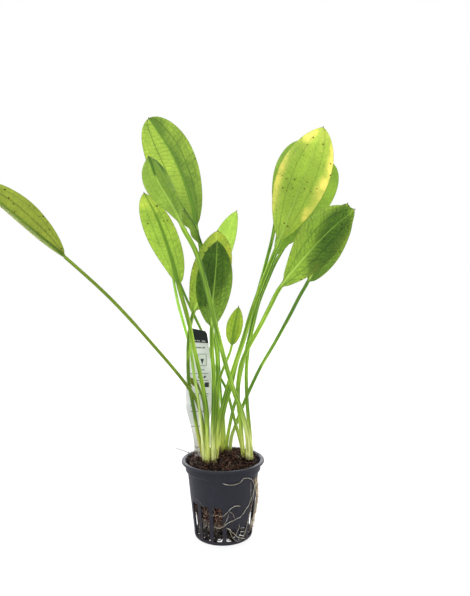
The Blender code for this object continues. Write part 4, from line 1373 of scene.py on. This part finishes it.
@dataclass
class PlantLabel:
    """A printed plastic stake tag, its top right corner curled back by heat."""

    foot: tuple[float, float] = (-16.5, 6.6)
    turn: float = 3.0
    thick: float = 0.55
    rows: tuple[tuple[float, float], ...] = (
        (32.0, 0.8), (40.0, 3.0), (51.0, 3.3), (60.0, 3.7), (70.0, 5.6), (82.0, 8.9), (90.0, 9.1),
        (98.0, 8.9), (109.0, 8.4), (120.0, 7.6), (130.0, 7.0), (136.4, 6.6), (138.2, 5.4))
    curl_from: float = 112.0
    curl_slant: float = 0.9
    curl_radius: float = 34.0
    top_slant: float = 0.16
    slant_from: float = 124.0
    slant_over: float = 14.0
    body_high: float = 134.0
    body_rows: int = 86
    top_rows: int = 9
    columns: int = 24

    def point(self, across: float, up: float, out: float) -> Vector:
        """Return a point of the sheet in mm: across it, up it, and out of its face.

        Args:
            across: distance from the sheet's middle line.
            up: distance from the pot's underside.
            out: distance from the sheet's middle layer.

        Returns:
            The point on the turned and curled sheet.
        """
        near_top = min(max((up - self.slant_from) / self.slant_over, 0.0), 1.0)
        up -= self.top_slant * (across + self.rows[-2][1]) * near_top
        lean = 1.0 / math.hypot(1.0, self.curl_slant)
        over = max(0.0, up - self.curl_from + self.curl_slant * across) * lean
        bend = over / self.curl_radius
        lost = over - self.curl_radius * math.sin(bend) + out * math.sin(bend)
        back = self.curl_radius * (1.0 - math.cos(bend)) - out * math.cos(bend)
        at = Vector((across - lost * lean * self.curl_slant, back, up - lost * lean))
        return Matrix.Rotation(math.radians(self.turn), 3, "Z") @ at + Vector((*self.foot, 0.0))

    def material(self) -> bpy.types.Material:
        """Paint the print: a dark header band, thin rules and plain marks on pale plastic."""
        p = Painter("Printed polystyrene stake label, satin")
        across, up = p.read("across_mm"), p.read("up_mm")

        def band(value: Any, low: float, high: float) -> Socket:
            """Return 1 between two positions in mm and 0 outside."""
            return p.times(p.sum("GREATER_THAN", value, low), p.sum("LESS_THAN", value, high))

        def box(left: float, right: float, low: float, high: float) -> Socket:
            """Return 1 inside a rectangle in mm and 0 outside."""
            return p.times(band(across, left, right), band(up, low, high))

        paper = p.mix(p.ramp(p.noise(9, 3), 0.35, 0.7), "EDEEED", "DDDFDE")
        colour = p.mix(p.sum("GREATER_THAN", up, 128.2), paper, "1E2329")
        letters = p.sum("GREATER_THAN", p.noise(0.55, 1, p.stretch((1.0, 1.0, 0.25))), 0.5)
        for left, right, low, high, tone in (
                (-5.2, 5.0, 123.8, 124.9, "5A6266"), (0.4, 4.6, 108.6, 109.4, "6A7276"),
                (-0.6, 5.0, 103.2, 104.8, "2E3439"), (2.6, 6.0, 89.4, 91.0, "4A5056"),
                (-5.6, -4.6, 82.0, 98.0, "5A6266"), (-5.2, 5.0, 129.2, 130.0, "E8ECEC")):
            colour = p.mix(p.times(box(left, right, low, high), letters), colour, tone)
        for low in (106.2, 101.4, 92.3, 80.2, 70.0):
            colour = p.mix(p.times(box(-5.8, 6.6, low, low + 0.45), 0.85), colour, "5A6266")
        colour = p.mix(box(-0.6, 5.4, 111.8, 120.0), colour, "7E8689")
        colour = p.mix(box(-0.2, 5.0, 112.2, 119.6), colour, "E4E8E2")
        tuft_wide = p.times(p.minus(up, 112.6), 0.32)
        from_middle = p.sum("ABSOLUTE", p.minus(across, 2.4))
        mark = p.times(box(0.2, 4.6, 112.7, 116.6), p.sum("LESS_THAN", from_middle, tuft_wide))
        colour = p.mix(mark, colour, "3A4046")
        colour = p.mix(box(3.9, 6.9, 97.0, 100.3), colour, "2E3439")
        mud = p.times(p.ramp(up, 49.0, 62.0, 1.0, 0.0), p.ramp(p.noise(2.4, 5), 0.44, 0.6))
        colour = p.mix(mud, colour, "6A5644")
        rough = p.ramp(p.noise(4), 0.3, 0.7, 0.32, 0.42)
        skin = p.skin(colour, rough, p.bump(p.noise(0.6, 2), 0.02, 0.4), ior=1.55)
        inner = p.add("ShaderNodeBsdfTranslucent", {"Color": colour}).outputs[0]
        return p.finish(p.add("ShaderNodeMixShader", {0: 0.3, 1: skin, 2: inner}).outputs[0])

    def build(self) -> None:
        """Make the sheet, front and back, with its soft outline."""
        known = np.array(self.rows)
        heights = np.concatenate([np.linspace(known[0, 0], self.body_high, self.body_rows),
                                  np.linspace(self.body_high + 0.6, known[-1, 0], self.top_rows)])
        halves = np.interp(heights, known[:, 0], known[:, 1])
        soft = np.convolve(np.pad(halves, 2, mode="edge"), (0.1, 0.2, 0.4, 0.2, 0.1), mode="valid")
        halves = np.where(heights < self.body_high, soft, halves)
        shares = np.linspace(-1.0, 1.0, self.columns + 1)
        points, across, up = [], [], []
        for side in (0.5, -0.5):
            for z, half in zip(heights, halves):
                for share in shares:
                    points.append(self.point(share * half, z, side * self.thick) * MM)
                    across.append(share * half)
                    up.append(z)
        row, many = self.columns + 1, len(heights)
        back = row * many
        faces = []
        for j in range(many - 1):
            for k in range(self.columns):
                a = j * row + k
                faces.append((a, a + 1, a + row + 1, a + row))
                faces.append((back + a, back + a + row, back + a + row + 1, back + a + 1))
        for j in range(many - 1):
            for k in (0, self.columns):
                a = j * row + k
                faces.append((a, a + row, back + a + row, back + a))
        for j in (0, many - 1):
            for k in range(self.columns):
                a = j * row + k
                faces.append((a, a + 1, back + a + 1, back + a))
        label = mesh_object("plant_label_sheet", points, faces, self.material(), smooth=False)
        mark_points(label, {"across_mm": across, "up_mm": up})
        soften_edges(label, 0.12, 40)
        settle(label, "label_plastic", "plant_label")


def strand(path: Sequence[Vector], radius: float, seed: float, sides: int, wander: float = 0.3,
           taper: float = 0.6) -> Shell:
    """Return a thin root along a path, which swells, thins and wanders a little.

    Args:
        path: centres in mm.
        radius: mean radius in mm.
        seed: what makes this root unlike the others.
        sides: how many sides it has.
        wander: how far in mm it strays from the path.
        taper: its radius at the far end as a share of the first.

    Returns:
        The points and faces of a closed tube.
    """
    moved, radii = [], []
    for i, at in enumerate(path):
        thin = 1.0 - (1.0 - taper) * i / len(path)
        stray = noise.noise_vector(at / 2.6 + Vector((seed, 0, 0)))
        stray = stray + 0.5 * noise.noise_vector(at + Vector((0, 0, seed)))
        end = min(i, len(path) - 1 - i)
        moved.append(at + stray * wander)
        swell = 1.0 + 0.4 * noise.noise(at / 1.4 + Vector((0, seed, 0)))
        radii.append(radius * thin * min(1.0, 0.3 + 0.2 * end) * swell)
    return tube(moved, radii, sides)


@dataclass
class RootTuft:
    """Fine roots that hang from the plug to the pot's floor, as many curling strands."""

    count: int = 170
    high: float = 14.6
    low: float = 2.2
    reach: float = 16.4
    radius: float = 0.14
    seed: int = 11
    mat: int = 260
    mat_high: float = 5.6
    mat_from: float = 7.5
    mat_radius: float = 0.32
    step: float = 1.9
    # The tuft's heavy dirt and its darker right side are partly real dirt and partly painted shade inside the
    # pot.
    finish: RootFinish = RootFinish(pale="D6D2C0", buff="A8987C", dirt="1C1715", dirt_share=0.75,
                                    dark_right=True)
    dead: RootFinish = RootFinish(pale="4A4038", buff="2E2622", dirt="1C1715", dirt_share=0.8)

    def inside(self, at: Vector, low: float, high: float) -> Vector:
        """Return a point moved inside the pot's wall and between two heights.

        Args:
            at: the point in mm, which is moved itself.
            low: the least height.
            high: the greatest height.

        Returns:
            The moved point.
        """
        if at.xy.length > self.reach:
            at.xy = at.xy.normalized() * self.reach
        at.z = min(max(at.z, low), high)
        return at

    def laid(self) -> list[Shell]:
        """Return dead roots that lie on the pot's floor, over its slots."""
        rng = np.random.default_rng(self.seed + 1)
        made = []
        for index in range(self.mat):
            angle = rng.uniform(0.0, math.tau)
            r = rng.uniform(self.mat_from, self.reach)
            at = at_turn(r, angle, rng.uniform(self.low, self.mat_high))
            heading = Vector((rng.normal(0, 1.0), rng.normal(0, 1.0), 0.0)).normalized()
            path = [at.copy()]
            for _ in range(7):
                drift = Vector((rng.normal(0, 0.4), rng.normal(0, 0.4), rng.normal(0, 0.2)))
                heading = (heading + drift).normalized()
                at = self.inside(at + heading * self.step, self.low, self.mat_high)
                path.append(at.copy())
            radius = self.mat_radius * rng.uniform(0.6, 1.3)
            made.append(strand(smooth_path(path, 2), radius, 0.53 * index, 5))
        return made

    def build(self) -> None:
        """Grow the strands by small steps that drift down and round, inside the pot's wall."""
        rng = np.random.default_rng(self.seed)
        strands = []
        for index in range(self.count):
            angle = rng.uniform(0.0, math.tau)
            at = at_turn(self.reach * math.sqrt(rng.uniform(0.02, 1.0)), angle, self.high + 0.8)
            heading = Vector((rng.normal(0, 0.7), rng.normal(0, 0.7), -rng.uniform(0.3, 1.2)))
            path = [at.copy()]
            for _ in range(int(rng.integers(7, 14))):
                heading += Vector((rng.normal(0, 0.45), rng.normal(0, 0.45), rng.normal(-0.05, 0.3)))
                at = at + heading.normalized() * self.step
                at = self.inside(at, self.low + rng.uniform(0.0, 1.0), self.high)
                path.append(at.copy())
            radius = self.radius * rng.uniform(0.6, 1.3)
            strands.append(strand(smooth_path(path, 2), radius, 0.37 * index, 5))
        grow_roots("root_tuft_strands", strands, self.finish.material("Tuft of fine roots"), "root_tuft")
        grow_roots("root_tuft_mat", self.laid(), self.dead.material("Dead roots on the pot's floor"))


@dataclass
class WallRoots:
    """Roots that came out of the slots and lie on the pot's wall: azimuth from the front, height in mm."""

    pot: NetPot
    clear: float = 0.4
    radius: float = 0.32
    skin: float = 0.155
    bundle_radius: float = 0.9
    finish: RootFinish = field(default_factory=RootFinish)
    single: tuple[tuple[str, tuple[tuple[float, float], ...]], ...] = (
        ("root_long",
         ((0, 41.9), (7, 40.9), (14, 40.3), (22, 40.6), (27, 42), (31, 44), (38, 43.8), (46, 42.2), (53, 40),
          (59, 36.5), (61, 33), (57, 29.5), (50, 25.6), (44, 23.1), (39, 21.2), (34, 19.2), (28, 18.1),
          (16, 16.9), (6, 15), (-1, 13.1), (-8, 12.3), (-15, 13.1))),
        ("root_middle",
         ((32, 25.4), (20, 26.3), (12, 24.4), (6, 22.2), (1, 20.3), (-7, 20.5), (-19, 20.8), (-27, 22.6),
          (-39, 27.2), (-54, 29.1))),
        ("root_low", ((6, 12.4), (13, 10.8), (22, 7.3), (29, 4.9), (38, 3.8), (46, 2))),
    )
    side_roots: tuple[tuple[str, tuple[tuple[float, float], ...]], ...] = (
        ("root_long", ((49, 39.7), (51, 34.1), (52, 29.4), (50, 24.9))),
        ("root_long", ((56, 41), (60, 36), (63, 31), (60, 26), (55, 21), (50, 15), (46, 9), (43, 4))),
        ("root_middle", ((11, 23.1), (17, 21.2), (21, 18))),
        ("root_middle", ((10, 21.8), (7, 17.9), (4, 15.3), (1, 13.6))),
        ("root_low", ((24, 6.6), (27, 9), (30, 12.2), (29, 14))),
        ("root_low", ((30, 4.8), (34, 7.6), (36, 11.5))),
        ("root_low", ((36, 4), (42, 6.4), (47, 10.5), (49, 14))),
        ("root_low", ((12, 11.2), (17, 6.2), (26, 2.6), (37, 2.6))),
        ("root_middle", ((-27, 22.6), (-34, 21.4), (-40, 23.4))),
        ("root_middle", ((-16, 20.9), (-13, 23.2), (-17, 25.2))),
    )
    bundle: tuple[tuple[float, float], ...] = (
        (56, 42.6), (66, 37.5), (77, 30), (80, 22.5), (75, 16.8), (67, 12), (61, 6.1))
    strands: int = 20
    hairs: int = 150
    hair_radius: float = 0.07
    stray: tuple[Point, ...] = (
        (-17.2, 8.2, 47.6), (-18.8, 8.5, 49.3), (-21.5, 9.3, 50.2), (-23.6, 10, 50.9), (-25.6, 10.5, 51.3),
        (-28.9, 11, 52.5), (-34.8, 12, 53.9))
    stray_radius: float = 0.27
    dirty: RootFinish = RootFinish(pale="E2D8BE", buff="BCA684", dirt="4A3828", dirt_share=0.65)
    dry: RootFinish = RootFinish(pale="5E5048", buff="463A34", dirt="2A2220", dirt_share=0.8)

    def route(self, stops: Sequence[tuple[float, float]], radius: float, steps: int) -> list[Vector]:
        """Return a smooth path on the wall through stops of azimuth and height.

        Args:
            stops: azimuth in degrees from the front, and height in mm.
            radius: the root's radius in mm, which it stands off the wall by.
            steps: how many parts each span is cut into.

        Returns:
            Centres in mm.
        """
        points = []
        for azimuth, z in stops:
            r = self.pot.outside_radius(z) + self.clear + radius
            points.append(at_turn(r, math.radians(azimuth - 90.0), z))
        return smooth_path(points, steps)

    @staticmethod
    def ways(at: Vector) -> tuple[Vector, Vector]:
        """Return the directions out of the wall and round it, at a point."""
        out = Vector((at.x, at.y, 0.0)).normalized()
        return out, Vector((-out.y, out.x, 0.0))

    def frayed(self) -> list[Shell]:
        """Return the bundle: loose strands round its path, and short hairs that stand out of it."""
        rng = np.random.default_rng(5)
        path = self.route(self.bundle, self.bundle_radius, 9)
        made = []
        for k in range(self.strands):
            first, last = int(rng.integers(0, 14)), int(rng.integers(len(path) - 16, len(path)))
            twisted = []
            for i, at in list(enumerate(path))[first:last]:
                out, side = self.ways(at)
                angle = math.tau * k / self.strands + 0.09 * i
                reach = self.bundle_radius * (0.7 + 0.9 * noise.noise(at / 5.0 + Vector((k, 0, 0))))
                twisted.append(at + side * (math.cos(angle) * 2.2 * reach - 0.6 - 1.2 * i / len(path))
                               + out * (math.sin(angle) * reach * 0.6 - 0.3))
            made.append(strand(twisted, 0.1 + 0.03 * (k % 4), 1.7 * k, 5, 0.6))
        for k in range(self.hairs):
            at = path[int(rng.integers(4, len(path) - 3))]
            out, side = self.ways(at)
            heading = side * rng.normal(0, 1) + out * rng.uniform(-0.2, 0.55)
            heading = heading + Vector((0, 0, rng.normal(-0.4, 0.8)))
            start = at + side * rng.normal(0, 0.7)
            hair = [start + heading * rng.uniform(0.5, 1.2) * step + Vector((0, 0, -0.1 * step * step))
                    for step in range(4)]
            made.append(strand(smooth_path(hair, 2), self.hair_radius, 2.3 * k, 4, 0.2))
        return made

    def build(self) -> None:
        """Make the single roots with their side roots, the frayed bundle and the stray root at the rim."""
        for index, (name, stops) in enumerate(self.single):
            made = [strand(self.route(stops, self.radius, 8), self.skin, 3.1 * index, 6, 0.35,
                           0.35 if name == "root_middle" else 0.8)]
            for k, (bearer, fine) in enumerate(self.side_roots):
                if bearer == name:
                    made.append(strand(self.route(fine, self.radius - 0.1, 8), 0.1, 5.7 * k + 1.0, 5))
            finish = RootFinish(dark_left=True) if name == "root_middle" else self.finish
            grow_roots(f"{name}_skin", made, finish.material(f"{name} fresh root skin"), name)
        grow_roots("root_bundle_strands", self.frayed(), self.dirty.material("Dirty root bundle"),
                   "root_bundle")
        path = smooth_path([Vector(p) for p in self.stray], 6)
        grow_roots("root_stray_skin", [strand(path, self.stray_radius, 8.0, 6, 0.15, 0.8)],
                   self.dry.material("Dry stray root"), "root_stray")


@dataclass
class Studio:
    """Plain pale floor, white surround, soft light from behind and above, and the photo's camera."""

    eye: Point = (8.25, -339.0, 156.0)
    pitch: float = 0.4
    yaw: float = 0.09
    roll: float = -0.36
    focal_px: float = 500.0
    photo_high_px: float = 596.0
    floor_size: float = 3.0

    SENSOR_MM = 36.0

    def camera(self) -> None:
        """Set the camera at the photo's place and angle."""
        pitch, yaw, roll = (math.radians(a) for a in (self.pitch, self.yaw, self.roll))
        ahead = Vector((math.sin(yaw) * math.cos(pitch), math.cos(yaw) * math.cos(pitch), math.sin(pitch)))
        right = Vector((math.cos(yaw), -math.sin(yaw), 0.0))
        top = right.cross(ahead)
        across = right * math.cos(roll) + top * math.sin(roll)
        upward = top * math.cos(roll) - right * math.sin(roll)
        data = bpy.data.cameras.new("Camera")
        data.lens = self.focal_px / self.photo_high_px * self.SENSOR_MM
        data.sensor_width = self.SENSOR_MM
        data.clip_start = 0.01
        eye = linked("Camera", data)
        turn = Matrix((across, upward, -ahead)).transposed()
        eye.matrix_world = Matrix.Translation(Vector(self.eye) * MM) @ turn.to_4x4()
        bpy.context.scene.camera = eye

    def floor(self) -> None:
        """Lay a plain pale floor under the pot."""
        p = Painter("Plain pale floor")
        skin = p.add("ShaderNodeBsdfPrincipled", {
            "Base Color": linear("78787A"), "Roughness": 0.8, "Specular IOR Level": 0.1,
            "Emission Color": linear("FFFFFF"), "Emission Strength": 0.8})
        size = self.floor_size
        corners = [(-size, -size, 0.0), (size, -size, 0.0), (size, size, 0.0), (-size, size, 0.0)]
        floor = mesh_object("floor", corners, [(0, 1, 2, 3)], p.finish(skin.outputs[0]), smooth=False)

    def lamp(self, name: str, place: Point, aim: Point, size: float, power: float) -> None:
        """Add a soft square lamp.

        Args:
            name: the lamp's name.
            place: where it is, in metres.
            aim: the point that it shines at, in metres.
            size: the length of its side in metres.
            power: its power in watts.
        """
        data = bpy.data.lights.new(name, "AREA")
        data.size, data.energy = size, power
        lamp = linked(name, data)
        lamp.location = place
        lamp.rotation_euler = (Vector(aim) - Vector(place)).to_track_quat("-Z", "Y").to_euler()

    def surround(self) -> None:
        """Light the scene from a white surround that is brightest behind the plant."""
        world = bpy.data.worlds.new("White surround")
        bpy.context.scene.world = world
        world.use_nodes = True
        tree = world.node_tree
        tree.nodes.clear()
        direction = add_node(tree, "ShaderNodeTexCoord").outputs["Generated"]
        back = add_node(tree, "ShaderNodeSeparateXYZ", {"Vector": direction}).outputs["Y"]
        level = add_node(tree, "ShaderNodeMapRange", {"Value": back, "From Min": 0.05, "From Max": 0.97,
                                                      "To Min": 0.88, "To Max": 5.2},
                         interpolation_type="SMOOTHSTEP").outputs["Result"]
        lit = add_node(tree, "ShaderNodeBackground", {"Color": linear("FFFFFF"), "Strength": level})
        seen = add_node(tree, "ShaderNodeBackground", {"Color": linear("FFFFFF"), "Strength": 1.0})
        ray = add_node(tree, "ShaderNodeLightPath").outputs["Is Camera Ray"]
        both = add_node(tree, "ShaderNodeMixShader", {0: ray, 1: lit.outputs[0], 2: seen.outputs[0]})
        add_node(tree, "ShaderNodeOutputWorld", {"Surface": both.outputs[0]})

    def build(self) -> None:
        """Set up the whole studio."""
        self.camera()
        self.floor()
        self.surround()
        self.lamp("Large soft top light", (-0.35, -0.25, 0.95), (0.0, 0.0, 0.12), 0.7, 5.0)
        bpy.context.scene.view_settings.view_transform = "Standard"


def main() -> None:
    """Build every piece of the plant in its solid's place, and the studio around it."""
    logging.basicConfig(level=logging.INFO, format="%(name)s %(message)s")
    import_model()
    Studio().build()
    pot = NetPot()
    pot.build()
    GrowingMedium(pot).build()
    for crown in (Crown("crown_left", (-8.5, -5.6), 6.1), Crown("crown_right", (16.4, 1.6), 5.2),
                  Crown("crown_back", (1.2, 15.0), 5.4)):
        crown.build()
    PlantLabel().build()
    RootTuft().build()
    WallRoots(pot).build()
    for leaf in LEAVES:
        leaf.build()


if __name__ == "__main__":
    main()
